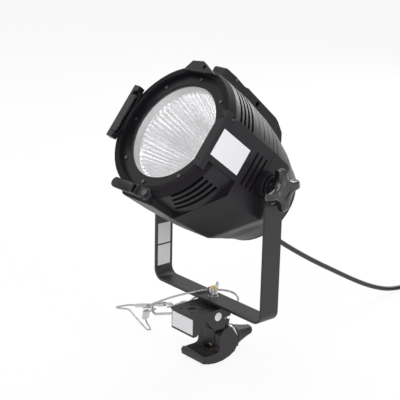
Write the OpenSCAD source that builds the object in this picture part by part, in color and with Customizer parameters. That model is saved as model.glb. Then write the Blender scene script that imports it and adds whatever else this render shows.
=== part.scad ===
// LED spotlight in a strap yoke, on a hook clamp for a pipe.
// Millimetres, +Z up. The origin is the middle of the pipe that the clamp holds, and the pipe runs along X.
// The lamp faces -Y, and its head is tilted up.

/* [Pipe clamp] */
// Diameter of the pipe that the clamp is made for
pipe_d = 50; // [42:1:51]
// Width of the saddle and of the hook, along the pipe
saddle_w = 58; // [50:1:60]
// Height of the saddle block
saddle_h = 38.5; // [34:0.5:46]
// Reach of the saddle in front of the pipe's middle
saddle_front = 28; // [26:1:34]
// Half width of the V seat at the underside of the saddle
vee_half = 20; // [18:0.5:21]
// Depth of the V seat
vee_depth = 22; // [18:0.5:24]
// Thickness of the lipped top of the saddle
lip_t = 3.5; // [2:0.5:5]
// Width of the sliding jaw
jaw_w = 30; // [24:1:34]
// Travel of the sliding jaw
jaw_travel = 8; // [4:1:8]
// Diameter of the lead screw
lead_screw_d = 10; // [8:1:12]
// Outer diameter of the chrome collar on the handle
collar_d = 44; // [36:1:46]
// Length of the cone grip
grip_l = 48; // [30:1:60]

/* [Yoke] */
// Room between the flat side of the housing and the yoke's leg
yoke_gap = 17; // [15:0.5:24]
// Thickness of the strap
strap_t = 5; // [4:0.5:7]
// Depth of the strap, front to back
strap_depth = 37; // [32:1:42]
// Height of the tilt axis above the underside of the bar
yoke_h = 234.5; // [230:0.5:260]
// Outside radius of the bent corners
corner_r = 20; // [12:1:26]
// Thickness of the spacer between the clamp and the bar
spacer_t = 6.5; // [6:0.5:9]
// Diameter of the bolt that carries the yoke
bolt_d = 10; // [8:1:12]

/* [Knobs] */
// Diameter over the four lobes
knob_d = 70; // [56:1:78]
// Thickness of the knob
knob_t = 23; // [16:1:30]
// Diameter of the knob's stud
stud_d = 8; // [6:1:10]

/* [Head] */
// Tilt of the head above level, in degrees
head_tilt = 38; // [20:1:45]
// Radius of the round housing at its front
housing_r = 117; // [114:0.5:118]
// Wall of the housing
wall = 3; // [2.5:0.25:4]
// Place of the housing's front plane along the optical axis
front_a = 132; // [130:0.5:134]
// Place of the joint between the housing and the rear shell
joint_a = -115; // [-118:0.5:-113]
// Place of the rear face
rear_a = -155; // [-160:0.5:-154]
// Diameter of the lens ring
ring_d = 206; // [200:1:208]
// Width of the lens ring, from its edge to its opening
ring_w = 19; // [17:0.5:20]
// Number of screws in the lens ring
ring_screws_n = 8; // [4:1:12]
// Number of vent slots in each quarter of the barrel
louvre_n = 4; // [2:1:4]
// Width of a vent slot
louvre_w = 5.5; // [3:0.5:6]

/* [Inside the head] */
// Diameter of the heat sink
sink_d = 158; // [140:1:160]
// Length of the heat sink's fins
fin_l = 50; // [40:1:51]
// Number of fins
fin_n = 19; // [11:2:21]
// Size of the fan's square frame
fan_s = 119; // [92:1:120]
// Thickness of the fan
fan_t = 25; // [20:1:25]
// Number of fan blades
blade_n = 7; // [5:1:9]

/* [Cord and rope] */
// Diameter of the mains cord
cord_d = 9; // [7:0.5:9]
// Diameter of the safety rope
rope_d = 3.5; // [3:0.25:4]

/* [Hidden] */

// Clearances: radial for a running fit, between faces of pieces that move apart, and round loose fits.
run_gap = 0.08;
face_gap = 0.3;
cut = 1;
fine = 96;
mid = 48;

// Clamp heights and depths.
pipe_r = pipe_d / 2;
vee_apex_z = pipe_r / sin(atan2(vee_half, vee_depth));
saddle_z = vee_apex_z - vee_depth;
saddle_top = saddle_z + saddle_h;
bar_z = saddle_top + spacer_t;
bar_top = bar_z + strap_t;
bolt_y = 40;
saddle_back = bolt_y + 3;
half_w = saddle_w / 2;
screw_z = -20;
wall_y = pipe_r + 8;
jaw_front = wall_y - 1;
jaw_t = 5;
jaw_cap = 2.5;
boss_half = 8;
nut_l = 15;
hook_back = wall_y + 43;
collar_t = 5.7;
grip_y = hook_back + face_gap + collar_t;
pad_z = -pipe_r - 3.5;
floor_z = pad_z - 18;
pivot_z = bar_z + yoke_h;

// Yoke and pivots.
side_x = housing_r + 1;
leg_in = side_x + yoke_gap;
leg_out = leg_in + strap_t;
pad_t = 2;
boss_r = 22;
bar_hole_r = bolt_d / 2 + run_gap;
washer_t = 2;
nut_z = bar_top + washer_t + face_gap;

// The head is modelled along its optical axis: X is its width, Y its height and Z its way forward.
axis_v = 3;
bottom_v = housing_r + 5;
bottom_half = 35;
side_low = -53;
side_high = 51;
spine_half = 14;
spine_v = housing_r + 21;
// The barrel narrows to this radius at its front.
front_r = housing_r - 5;
// Stations of the barrel: place and radius.
barrel = [[front_a, front_r], [front_a - 17, housing_r], [60, housing_r], [0, housing_r - 5],
    [-30, housing_r - 10], [-75, housing_r - 21], [joint_a, housing_r - 36]];
// Stations of the flat sides and bottom: place, half width, low and high edge, depth of the bottom.
slice_t = 0.4;
flats = [
    [front_a - slice_t, side_x, side_low + 8, side_high - 8, housing_r - 5],
    [front_a - 12, side_x, side_low, side_high, bottom_v],
    [60, side_x, side_low, side_high, bottom_v - 2.5],
    [0, side_x, side_low, side_high, bottom_v - 8],
    [-30, side_x, side_low + 3, side_high - 2, bottom_v - 12],
    [-75, side_x - 22, side_low + 20, side_high - 20, bottom_v - 33],
    [joint_a, side_x - 44, side_low + 30, side_high - 30, bottom_v - 56]];
// The barrel is bare between the sides and the bottom from this place forward.
bare_a = 62;
side_angle = 15;
bottom_angle = 16;
ring_a = front_a - 8;
ring_t = 1.5;
lens_open_d = ring_d - 2 * ring_w;
shelf_a = ring_a - ring_t;
glass_t = 3.2;
glass_r = lens_open_d / 2 + 5;
ring_screw_r = (ring_d / 2 + glass_r) / 2 - 1;
sink_base_t = 8;
ledge_t = 4;
fin_end = -sink_base_t - fin_l;
cob_t = 1.6;
holder_t = 4;
shell_r = housing_r - 42;
end_r = 47.5;
flange_t = 2.5;
neck_r = housing_r - 36 - 2 * wall;
gland_v = -30;
gland_l = 14;
gland_base_t = 3;
xlr_x = 24;
xlr_v = -11;
xlr_r = 11;
button_v = 14;
button_pitch = 12;
button_r = 3.5;
latch_v = 6 - housing_r;
latch_pivot_x = 34;
latch_end_x = -44;
latch_t = 6;
rail_t = 13;
foot_t = 3.5;
lug_t = 8;

// Route of the free cord after the gland, in millimetres. Its first two points follow the gland.
cord_route = [[0, 200, 130], [0, 270, 85], [0, 343, 43], [0, 410, 6], [0, 460, -18], [0, 505, -34],
    [0, 545, -41], [0, 575, -42.5], [0, 590, -42.5]];
cord_step = 3 * cord_d;
// Coil of the unseen length: centre, loop radius, turns a layer and steps.
coil_y = 590;
coil_z = floor_z + cord_d / 2 - 0.5;
coil_r = 46;
coil_turns = 2;
coil_step = cord_d + 2;
coil_rise = cord_d + 0.6;
plug_r = 18;
plug_gap = 2 * cord_d;

// Route of the safety rope, in millimetres, from the tail in the long ferrule to the tail of the small eye.
rope_step = 4 * rope_d;
rope_route = [[-172, 21.5, -9], [-160, 25, -5], [-148, 27, -3.5], [-140, 25, -1.5], [-138.5, 20, -0.8],
    [-140, 14.5, -2.5], [-149, 13.5, -7], [-159, 18, -12], [-163, 20, -25], [-155, 18, -33],
    [-145, 17, -38], [-141, 13, -39.5], [-146, 9, -38.5], [-168, 10, -32], [-188, 12, -26],
    [-208, 15, -23], [-232, 16, -29], [-247, 17, -33], [-252, 21, -34], [-247, 25, -32],
    [-225, 24, -22], [-203, 21, -13.5], [-188, 20, -9], [-154, 20, 2], [-141, 15, 9.5],
    [-115, 13, 24.5], [-78, 13, 45], [-45, 12.6, 61.5], [-30, 22, 67.4], [-26, 42, 67.4],
    [-16, 59, 67.4], [-3, 71, 67.4], [12, 76, 66.5], [27, 73, 64], [33, 67, 59.5], [24, 63.4, 57],
    [0, 63, 57], [-20, 60, 57], [-34, 48.5, 55.9], [-43, 36, 49.5], [-51, 23, 39.5], [-64, 18, 35],
    [-74, 12.5, 30], [-84, 11, 25], [-92, 14, 20.5], [-95.5, 20, 19], [-92, 26, 20.5],
    [-84, 29, 25], [-74, 27.5, 30], [-64, 23.5, 35], [-53, 28, 39]];

// Unit vector, and the tangent at each point of a route.
function unit(v) = v / norm(v);
function tangents(p) = [for (i = [0:len(p) - 1]) unit(p[min(i + 1, len(p) - 1)] - p[max(i - 1, 0)])];
// A smooth curve through the route's points, with about one point for each step length.
function bend(a, b, c, d, t) = 0.5 * (2 * b + (c - a) * t + (2 * a - 5 * b + 4 * c - d) * t * t
    + (3 * b - a - 3 * c + d) * t * t * t);
function smooth_route(p, step) = concat([for (i = [0:len(p) - 2])
    let (n = max(1, round(norm(p[i + 1] - p[i]) / step)))
    for (k = [0:n - 1])
        bend(p[max(i - 1, 0)], p[i], p[i + 1], p[min(i + 2, len(p) - 1)], k / n)], [p[len(p) - 1]]);
// Side vectors that turn as little as they can from ring to ring.
function sides(t) = [for (i = 0, s = unit(cross(t[0], [0.3, 1, 0.2])); i < len(t);
    i = i + 1, s = i < len(t) ? unit(s - (s * t[i]) * t[i]) : s) s];
// Length of a route.
function route_length(p) = len(p) < 2 ? 0 : [for (i = 1, s = norm(p[1] - p[0]); i < len(p);
    i = i + 1, s = i < len(p) ? s + norm(p[i] - p[i - 1]) : s) s][len(p) - 2];

// Closed tube of radius r with n sides along the points p.
module tube(p, r, n) {
    t = tangents(p);
    s = sides(t);
    points = [for (i = [0:len(p) - 1]) for (k = [0:n - 1])
        p[i] + r * (cos(360 * k / n) * s[i] + sin(360 * k / n) * cross(t[i], s[i]))];
    last = (len(p) - 1) * n;
    walls = [for (i = [0:len(p) - 2]) for (k = [0:n - 1]) for (h = [0, 1])
        let (a = i * n + k, b = i * n + (k + 1) % n)
        h == 0 ? [a, b, a + n] : [b, b + n, a + n]];
    caps = [for (k = [1:n - 2]) for (h = [0, 1]) h == 0 ? [0, k + 1, k] : [last, last + k, last + k + 1]];
    polyhedron(points, concat(walls, caps), convexity = 8);
}

// Places children at the tilt axis, along the optical axis, or on the optical axis itself.
module lamp() translate([0, bolt_y, pivot_z]) rotate([90 - head_tilt, 0, 0]) children();
module axial() lamp() translate([0, axis_v, 0]) children();
// Turns a cylinder's axis from Z to +X.
module along_x() rotate([0, 90, 0]) children();
// Turns a profile drawn in the Y-Z plane so that it is extruded along X, centred.
module across(w) translate([-w / 2, 0, 0]) rotate([90, 0, 90]) linear_extrude(w) children();

// Saddle block with a V seat on its underside and a lipped top.
module saddle() color([0.16, 0.16, 0.17]) difference() {
    union() {
        translate([-half_w, -saddle_front, saddle_z]) cube([saddle_w, saddle_front + saddle_back, saddle_h]);
        translate([-half_w - 1, -saddle_front - 2, saddle_top - lip_t])
            cube([saddle_w + 2, saddle_front + saddle_back + 2, lip_t]);
    }
    across(saddle_w + 4) polygon([[-vee_half, saddle_z - cut], [-vee_half, saddle_z], [0, vee_apex_z],
        [vee_half, saddle_z], [vee_half, saddle_z - cut]]);
    translate([0, bolt_y, saddle_top - 16]) cylinder(r = bolt_d + 0.5, h = 16 + cut, $fn = mid);
    translate([0, -8, saddle_top - 2]) cylinder(r = 7, h = 2 + cut, $fn = mid);
    for (x = [-14, 14]) for (y = [-20, 4])
        translate([x, y, saddle_top - 8]) cylinder(r = 2.2, h = 8 + cut, $fn = mid);
    for (x = [-16, 16]) translate([x, saddle_back + cut, saddle_z + 12])
        rotate([90, 0, 0]) cylinder(r = 2.1, h = 12 + cut, $fn = mid);
}

// Outline of the hook, front to back and up, from the front lip round to the block behind the saddle.
function hook_outline() = [[-2, pad_z + 1], [-6, pad_z - 3], [-4, pad_z - 12], [8, floor_z + 2.5],
    [23, floor_z], [40, floor_z + 0.5], [57, floor_z + 5], [68, floor_z + 11], [hook_back - 1, floor_z + 22],
    [hook_back, screw_z - 9], [hook_back, screw_z + 9], [66, 3], [60, saddle_z - 3], [66, saddle_top - 12],
    [66, saddle_top], [saddle_back, saddle_top], [saddle_back, saddle_z - 5], [38, saddle_z - 7],
    [wall_y, 2], [wall_y, pad_z + 7], [wall_y - 2, pad_z + 2], [wall_y - 7, pad_z], [3, pad_z],
    [0, pad_z + 1]];

// Hook casting: pad arm, rear wall with the jaw's pocket, upright, and the arm that holds the bolt.
module hook() color([0.13, 0.13, 0.14]) difference() {
    union() {
        intersection() {
            across(saddle_w) polygon(hook_outline());
            union() {
                translate([-half_w, -20, floor_z - cut])
                    cube([saddle_w, 120, saddle_z - 4 - floor_z + cut]);
                translate([-half_w + 9, saddle_back, floor_z]) cube([saddle_w - 18, 60, 150]);
            }
        }
        translate([0, bolt_y, saddle_top]) cylinder(r = 14, h = spacer_t, $fn = mid);
        translate([-14, bolt_y, saddle_top]) cube([28, 14, spacer_t]);
    }
    translate([0, bolt_y, saddle_top - cut])
        cylinder(r = bolt_d / 2 + 0.2, h = spacer_t + 2 * cut, $fn = mid);
    translate([0, bolt_y, saddle_top - 16]) cylinder(r = bolt_d + 0.5, h = 16, $fn = mid);
    translate([-jaw_w / 2 - face_gap, wall_y - 5, pad_z + 2.7])
        cube([jaw_w + 2 * face_gap, jaw_t + 4 + face_gap, 80]);
    translate([-boss_half - face_gap, wall_y - 5, screw_z - boss_half - face_gap])
        cube([2 * (boss_half + face_gap), jaw_t + 4 + nut_l + face_gap, 2 * (boss_half + face_gap)]);
    translate([0, wall_y, screw_z]) rotate([-90, 0, 0])
        cylinder(d = lead_screw_d + 2 * run_gap, h = 60, $fn = mid);
    for (x = [-16, 16]) translate([x, 80, saddle_z + 12])
        rotate([90, 0, 0]) cylinder(r = 2.3, h = 40, $fn = mid);
    for (x = [-16, 16]) translate([x, 80, saddle_z + 12])
        rotate([90, 0, 0]) cylinder(r = 4.6, h = 80 - saddle_back - 6, $fn = mid);
}

// Two screws that hold the saddle to the hook's upright.
module saddle_screws() color([0.5, 0.5, 0.52]) for (x = [-16, 16]) translate([x, 0, saddle_z + 12]) {
    translate([0, saddle_back + 6, 0]) rotate([90, 0, 0]) cylinder(r = 2, h = 16, $fn = mid);
    translate([0, saddle_back + 10, 0]) rotate([90, 0, 0]) cylinder(r = 4, h = 4, $fn = mid);
}

// Ribbed rubber pad on the hook's arm.
module pad() color([0.08, 0.08, 0.08]) union() {
    translate([-half_w + 3, 5, pad_z]) cube([saddle_w - 6, 18, 1]);
    for (i = [0:8]) translate([-half_w + 4 + i * (saddle_w - 10) / 8, 5, pad_z + 1]) cube([2, 18, 0.8]);
}

// Sliding jaw with the threaded boss that the lead screw drives.
module jaw() color([0.2, 0.2, 0.21]) difference() {
    union() {
        translate([-jaw_w / 2, jaw_front, pad_z + 3]) cube([jaw_w, jaw_t, 36]);
        translate([-boss_half, jaw_front + jaw_t, screw_z - boss_half])
            cube([2 * boss_half, nut_l, 2 * boss_half]);
    }
    translate([0, jaw_front + jaw_cap, screw_z]) rotate([-90, 0, 0])
        cylinder(d = lead_screw_d + 2 * run_gap, h = jaw_t + nut_l, $fn = mid);
}

// Brass tip at the foot of the jaw.
module jaw_tip() color([0.75, 0.6, 0.3]) translate([6, jaw_front, pad_z + 7]) rotate([90, 0, 0])
    cylinder(r = 3.4, h = 2.2, $fn = mid);

// Lead screw: it turns in the hook and moves the jaw.
module lead_screw() color([0.7, 0.7, 0.72]) translate([0, jaw_front + jaw_cap + face_gap, screw_z])
    rotate([-90, 0, 0]) cylinder(d = lead_screw_d, h = grip_y - jaw_front - jaw_cap - face_gap, $fn = mid);

// Chrome collar between the hook and the grip.
module handle_collar() color([0.85, 0.85, 0.86]) translate([0, hook_back + face_gap, screw_z])
    rotate([-90, 0, 0]) difference() {
        cylinder(d = collar_d, h = collar_t, $fn = fine);
        translate([0, 0, -cut]) cylinder(d = lead_screw_d, h = collar_t + 2 * cut, $fn = mid);
    }

// Cone grip of the lead screw.
module handle_grip() color([0.1, 0.1, 0.1]) translate([0, grip_y, screw_z]) rotate([-90, 0, 0])
    rotate_extrude($fn = mid) polygon([[0, 0], [collar_d / 2 - 1, 0], [collar_d / 2 - 0.5, 3],
        [collar_d / 2 - 3, 8], [9.5, grip_l - 7], [8.5, grip_l - 2], [6, grip_l], [0, grip_l]]);

// Bolt that carries the yoke, head down in the clamp.
module yoke_bolt() color([0.78, 0.66, 0.4]) translate([0, bolt_y, 0]) {
    translate([0, 0, saddle_top - 6.4]) cylinder(r = bolt_d * 0.95, h = 6.4, $fn = 6);
    translate([0, 0, saddle_top]) cylinder(d = bolt_d, h = nut_z + 16 - saddle_top, $fn = mid);
}

// Blank stickers on the saddle.
module saddle_label() color([0.92, 0.92, 0.93])
    translate([-half_w + 2, -saddle_front - 0.3, saddle_z + 4]) cube([saddle_w - 4, 0.3, 28]);
module saddle_sticker() color([0.95, 0.95, 0.95]) translate([half_w, 27, saddle_top - 14])
    along_x() cylinder(r = 7.5, h = 0.3, $fn = mid);

// One bent corner of the strap, with its middle at the origin and the bend towards -X and -Z.
module strap_corner() translate([0, strap_depth / 2, 0]) rotate([90, 0, 0]) intersection() {
    difference() {
        cylinder(r = corner_r, h = strap_depth, $fn = fine);
        translate([0, 0, -cut]) cylinder(r = corner_r - strap_t, h = strap_depth + 2 * cut, $fn = fine);
    }
    translate([-corner_r, -corner_r, 0]) cube([corner_r, corner_r, strap_depth]);
}

// One leg of the yoke with its round top, hole and index slot.
module leg() difference() {
    union() {
        translate([leg_in, -strap_depth / 2, corner_r]) cube([strap_t, strap_depth, yoke_h - corner_r]);
        translate([leg_in, 0, yoke_h]) along_x() cylinder(d = strap_depth, h = strap_t, $fn = fine);
    }
    translate([leg_in - cut, 0, yoke_h]) along_x() cylinder(d = stud_d + 2 * run_gap, h = 20, $fn = mid);
    translate([leg_in - cut, 0, yoke_h]) along_x() difference() {
        intersection() {
            cylinder(r = 30, h = 20, $fn = fine);
            translate([20, -7, 0]) cube([20, 14, 20]);
        }
        translate([0, 0, -cut]) cylinder(r = 25, h = 22, $fn = fine);
    }
}

// Bent flat strap: bar, two corners and two legs.
module yoke() color([0.15, 0.15, 0.16]) translate([0, bolt_y, bar_z]) difference() {
    union() {
        translate([-leg_out + corner_r, -strap_depth / 2, 0])
            cube([2 * (leg_out - corner_r), strap_depth, strap_t]);
        translate([-leg_out + corner_r, 0, corner_r]) strap_corner();
        mirror([1, 0, 0]) translate([-leg_out + corner_r, 0, corner_r]) strap_corner();
        leg();
        mirror([1, 0, 0]) leg();
    }
    translate([0, 0, -cut]) cylinder(r = bar_hole_r, h = strap_t + 2 * cut, $fn = mid);
}

module bolt_washer() color([0.8, 0.8, 0.82]) translate([0, bolt_y, bar_top]) difference() {
    cylinder(r = bolt_d * 0.9, h = washer_t, $fn = mid);
    translate([0, 0, -cut]) cylinder(r = bar_hole_r, h = washer_t + 2 * cut, $fn = mid);
}

// Wing nut: flared hub and two raised wings.
module wing_nut() color([0.82, 0.82, 0.84]) translate([0, bolt_y, nut_z]) difference() {
    union() {
        cylinder(r = 8, h = 4, $fn = mid);
        cylinder(r = 6.8, h = 12, $fn = mid);
        for (s = [-1, 1]) rotate([90, 0, 110]) translate([0, 0, -1.5]) linear_extrude(3)
            polygon([[s * 6, 2], [s * 12, 4], [s * 17, 12], [s * 18, 18], [s * 14, 20], [s * 9, 14],
                [s * 6, 10]]);
    }
    translate([0, 0, -cut]) cylinder(r = bar_hole_r, h = 16, $fn = mid);
}

// Two blank stickers on the inner face of the left leg, one over the other.
module yoke_label() color([0.9, 0.9, 0.91]) for (i = [0, 1])
    translate([-leg_in, bolt_y - 15, bar_z + corner_r + 4 + 41 * i]) cube([0.3, 28, 38]);

// Steel washers outside the legs.
module leg_washers() color([0.75, 0.75, 0.77]) for (s = [-1, 1]) translate([0, bolt_y, pivot_z])
    rotate([0, s * 90, 0]) translate([0, 0, leg_out]) difference() {
        cylinder(r = 12, h = 1.4, $fn = mid);
        translate([0, 0, -cut]) cylinder(d = stud_d + 2 * run_gap, h = 4, $fn = mid);
    }

// Safety rope along its route.
module safety_rope() color([0.62, 0.63, 0.65]) tube(smooth_route(rope_route, rope_step), rope_d / 2, 8);

// Flattened sleeve from point a to point b, with its two half widths set by w and t.
module sleeve(a, b, w, t) {
    d = b - a;
    translate(a) rotate([0, acos(d[2] / norm(d)), atan2(d[1], d[0])])
        linear_extrude(norm(d)) for (y = [-w, w]) {
            translate([0, y]) circle(r = t, $fn = 24);
            translate([-t, -w]) square([2 * t, 2 * w]);
        }
}

// Pressed ferrules of the big eye and of the small eye.
module rope_ferrules() color([0.6, 0.61, 0.62]) {
    sleeve([-188, 20, -9], [-154, 20, 2], 3, 3.2);
    sleeve([-163, 20, -26], [-160, 20, -9.5], 4.5, 3.1);
    sleeve([-64, 21, 36], [-52, 25.4, 39.6], 3.2, 2.8);
}

// Oval quick link, open on its upper side where the sleeve closes it.
link_mid = [-112, 20, 9];
link_turn = -20;
link_half = 24;
link_r = 9;
wire_r = 2.5;
module link_place() translate(link_mid) rotate([0, link_turn, 0]) children();
module quick_link() color([0.8, 0.81, 0.83]) link_place() {
    for (s = [-1, 1]) rotate([90, 0, 0]) translate([s * link_half, 0, 0])
        rotate([0, 0, s > 0 ? -90 : 90]) rotate_extrude(angle = 180, $fn = mid)
            translate([link_r, 0]) circle(r = wire_r, $fn = 24);
    translate([-link_half, 0, -link_r]) along_x() cylinder(r = wire_r, h = 2 * link_half, $fn = 24);
    for (s = [0, 1]) translate([s == 0 ? -link_half : link_half - 17, 0, link_r])
        along_x() cylinder(r = wire_r, h = 17, $fn = 24);
}

// Screw sleeve that closes the quick link.
module link_sleeve() color([0.7, 0.71, 0.73]) link_place() translate([-9.5, 0, link_r]) along_x()
    difference() {
        cylinder(r = 4.4, h = 19, $fn = 24);
        translate([0, 0, -cut]) cylinder(r = wire_r + run_gap, h = 21, $fn = 24);
    }

// Four-lobed knob with its stud, drawn along +Z from the leg's outer face.
module knob() {
    difference() {
        rotate_extrude($fn = fine) polygon([[0, 0], [14, 0], [15, 6], [knob_d / 2 - 3, 7],
            [knob_d / 2, 10], [knob_d / 2, knob_t - 5], [knob_d / 2 - 4, knob_t - 1],
            [knob_d / 2 - 9, knob_t], [0, knob_t]]);
        for (i = [0:3]) rotate([0, 0, 45 + 90 * i]) translate([knob_d * 0.62, 0, 5.8])
            cylinder(r = knob_d * 0.34, h = knob_t, $fn = mid);
    }
    translate([0, 0, -stud_reach]) cylinder(d = stud_d, h = stud_reach + 0.5, $fn = mid);
}
stud_reach = 16;
knob_x = leg_out + 1.4 + face_gap;
knob_turn = 9;
module knob_right() color([0.05, 0.05, 0.05]) translate([0, bolt_y, pivot_z])
    rotate([0, 90, 0]) rotate([0, 0, knob_turn]) translate([0, 0, knob_x]) knob();
module knob_left() color([0.05, 0.05, 0.05]) translate([0, bolt_y, pivot_z])
    rotate([0, -90, 0]) rotate([0, 0, knob_turn]) translate([0, 0, knob_x]) knob();

// Pivot boss on the side of the housing, and the rubber pad between it and the leg.
module pivot_boss(s) color([0.12, 0.12, 0.13]) lamp() rotate([0, s * 90, 0])
    translate([0, 0, side_x]) difference() {
        cylinder(r = boss_r, h = leg_in - pad_t - side_x - face_gap, $fn = fine);
        translate([0, 0, 3]) cylinder(d = stud_d + 2 * run_gap, h = 40, $fn = mid);
    }
module friction_pad(s) color([0.07, 0.07, 0.07]) lamp() rotate([0, s * 90, 0])
    translate([0, 0, leg_in - pad_t - face_gap]) difference() {
        cylinder(r = 16, h = pad_t, $fn = mid);
        translate([0, 0, -cut]) cylinder(d = stud_d + 2 * run_gap, h = 10, $fn = mid);
    }
module pivot_boss_right() pivot_boss(1);
module pivot_boss_left() pivot_boss(-1);
module friction_pad_right() friction_pad(1);
module friction_pad_left() friction_pad(-1);

// Flat sides and flat bottom at one station. The inset makes the hollow, smaller by the wall.
module flat_section(s, inset = 0) translate([0, 0, s[0]]) linear_extrude(slice_t) {
    translate([-s[1] + inset, s[2] + inset / 2]) square([2 * (s[1] - inset), s[3] - s[2] - inset]);
    translate([-bottom_half + inset / 2, inset - s[4]]) square([2 * bottom_half - inset, s[4]]);
}

// Curved slots round the barrel, one on each side. They are above the sides, or below them where u is 1.
module ring_slot(a, w, from, to, r_in, u) for (q = [0, 1]) mirror([q, 0, 0])
    translate([0, axis_v, a]) mirror([0, u, 0]) rotate([0, 0, from])
        rotate_extrude(angle = to - from, $fn = fine) translate([r_in, 0]) square([150 - r_in, w]);
// Radius of the barrel over the conical part behind its front.
function barrel_r(a) = a > 60 ? housing_r : a > 0 ? housing_r - 5 + a / 12 : housing_r - 5 + a / 6;

// Main housing: round barrel with flat sides and bottom, a tall spine, vents and the lens seat.
module main_housing() color([0.14, 0.14, 0.15]) lamp() difference() {
    union() {
        translate([0, axis_v, 0]) rotate_extrude($fn = fine)
            polygon(concat([[0, joint_a], [0, front_a]], [for (b = barrel) [b[1], b[0]]]));
        difference() {
            hull() for (s = flats) flat_section(s);
            for (q = [0, 1]) mirror([q, 0, 0]) translate([0, axis_v, 0]) rotate([0, 0, bottom_angle - 90])
                bare_zone();
        }
        rotate([90, 0, 90]) translate([0, 0, -spine_half]) linear_extrude(2 * spine_half)
            polygon([[100, 98], [spine_v - 12, 103], [spine_v - 3.5, 103.5], [spine_v, 100],
                [spine_v, 74], [spine_v - 2.5, 50], [spine_v - 1, 40], [spine_v - 6.5, -51],
                [spine_v - 9, -60], [119, -80.5], [111, -87], [98, -96], [75, -100], [75, 60]]);
    }
    axial_cut();
    hull() {
        flat_section(flats[2], wall);
        flat_section([ledge_t, side_x, side_low, side_high, bottom_v - 8], wall);
    }
    hull() {
        flat_section([-slice_t, side_x, side_low, side_high, bottom_v - 8], wall);
        for (i = [4, 5]) flat_section(flats[i], wall);
        flat_section([joint_a + 6, side_x - 50, -20, 20, 57], wall);
    }
    rotate([90, 0, 90]) translate([0, 0, wall - spine_half]) linear_extrude(2 * (spine_half - wall))
        polygon([[90, 94], [spine_v - 6, 100], [spine_v - 3, 97], [spine_v - 3, 74],
            [spine_v - 5.5, 50], [spine_v - 4, 40], [spine_v - 9.5, -51], [spine_v - 12, -59], [100, -78],
            [90, -86]]);
    for (i = [0:louvre_n - 1]) {
        ring_slot(98 - 10.5 * i, louvre_w - 0.5, 23, 74, housing_r - 12, 0);
        ring_slot(110 - 11.5 * i, louvre_w, 27, 58 + 3 * i, housing_r - 12, 1);
    }
    for (i = [0:4]) ring_slot(46.5 - 15.5 * i, 1.4, 30, 60, barrel_r(46.5 - 15.5 * i) - 1.6, 0);
    for (s = [-1, 1]) for (i = [0:2]) translate([s * side_x - 4, -25, 24 + 12 * i - 2]) cube([8, 57, 4]);
    translate([-30, spine_v - 11.5, 3]) along_x() cylinder(r = 4, h = 80, $fn = mid);
    for (i = [0:ring_screws_n - 1]) rotate_on_axis(i) translate([ring_screw_r, 0, shelf_a - 7])
        cylinder(r = 1.6, h = 10, $fn = 24);
    for (i = [0:3]) translate([0, axis_v, joint_a - cut]) rotate([0, 0, 45 + 90 * i])
        translate([neck_r + wall, 0, 0]) cylinder(r = 1.3, h = 8, $fn = 24);
    for (i = [0:3]) translate([0, axis_v, -cut]) rotate([0, 0, 45 + 90 * i])
        translate([sink_d / 2 - 4, 0, 0]) cylinder(r = 1.7, h = ledge_t + 2 * cut, $fn = 24);
}
module rotate_on_axis(i) translate([0, axis_v, 0]) rotate([0, 0, 360 * i / ring_screws_n]) children();
// Everything outside the barrel over a quarter of a turn less the flat side and the flat bottom.
module bare_zone() rotate_extrude(angle = 90 - side_angle - bottom_angle, $fn = fine)
    polygon([[housing_r, bare_a], [housing_r, front_a - 17], [front_r, front_a],
        [front_r, front_a + 20], [housing_r + 40, front_a + 20], [housing_r + 40, bare_a]]);
// Hollow of the barrel, the ledge for the heat sink and the seats of glass and ring.
module axial_cut() translate([0, axis_v, 0]) {
    rotate_extrude($fn = fine) polygon([[0, ledge_t], [barrel_r(ledge_t) - wall, ledge_t],
        [housing_r - wall, 60], [housing_r - wall, shelf_a - 13], [0, shelf_a - 13]]);
    rotate_extrude($fn = fine) polygon([[0, 0], [housing_r - 5 - wall, 0], [housing_r - 10 - wall, -30],
        [housing_r - 21 - wall, -75], [neck_r, joint_a + 6], [neck_r, joint_a - cut], [0, joint_a - cut]]);
    translate([0, 0, -cut]) cylinder(r = sink_d / 2 - 9, h = ledge_t + 2 * cut, $fn = fine);
    translate([0, 0, shelf_a - 13]) cylinder(r = glass_r - 4.5, h = 20, $fn = fine);
    translate([0, 0, shelf_a - glass_t - 1]) cylinder(r = glass_r + 0.5, h = 20, $fn = fine);
    translate([0, 0, shelf_a]) cylinder(d = ring_d + 1, h = 20, $fn = fine);
}

// Rear shell: a dome with curved vents and a flat rear face.
module rear_shell() color([0.13, 0.13, 0.14]) axial() difference() {
    rotate_extrude($fn = fine) polygon([[0, joint_a + 4], [neck_r - 0.3, joint_a + 4],
        [neck_r - 0.3, joint_a], [neck_r + 2 * wall, joint_a], [neck_r + 2 * wall, joint_a - flange_t],
        [shell_r, joint_a - flange_t], [shell_r - 3, -121.5], [shell_r - 8, -130], [58.5, -140],
        [51.5, -147.5], [end_r, rear_a + 3], [end_r - 3, rear_a], [0, rear_a]]);
    rotate_extrude($fn = fine) polygon([[0, joint_a + 5], [neck_r - 0.3 - wall, joint_a + 5],
        [shell_r - wall - 1.5, joint_a - flange_t], [shell_r - 6.5, -121.5], [shell_r - 12, -130],
        [54.5, -140], [47.5, -147.5], [end_r - 4, rear_a + wall], [0, rear_a + wall]]);
    for (i = [0:2]) for (j = [0:3]) rotate([0, 0, 20 + 90 * j]) translate([0, 0, -127.5 - 8.5 * i])
        rotate_extrude(angle = 50, $fn = fine) translate([40, 0]) square([60, 3.6]);
    translate([0, -axis_v, 0]) rear_cuts();
    for (i = [0:3]) rotate([0, 0, 45 + 90 * i]) translate([neck_r + wall, 0, joint_a - flange_t - cut])
        cylinder(r = 1.7, h = flange_t + 2 * cut, $fn = 24);
}
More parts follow.
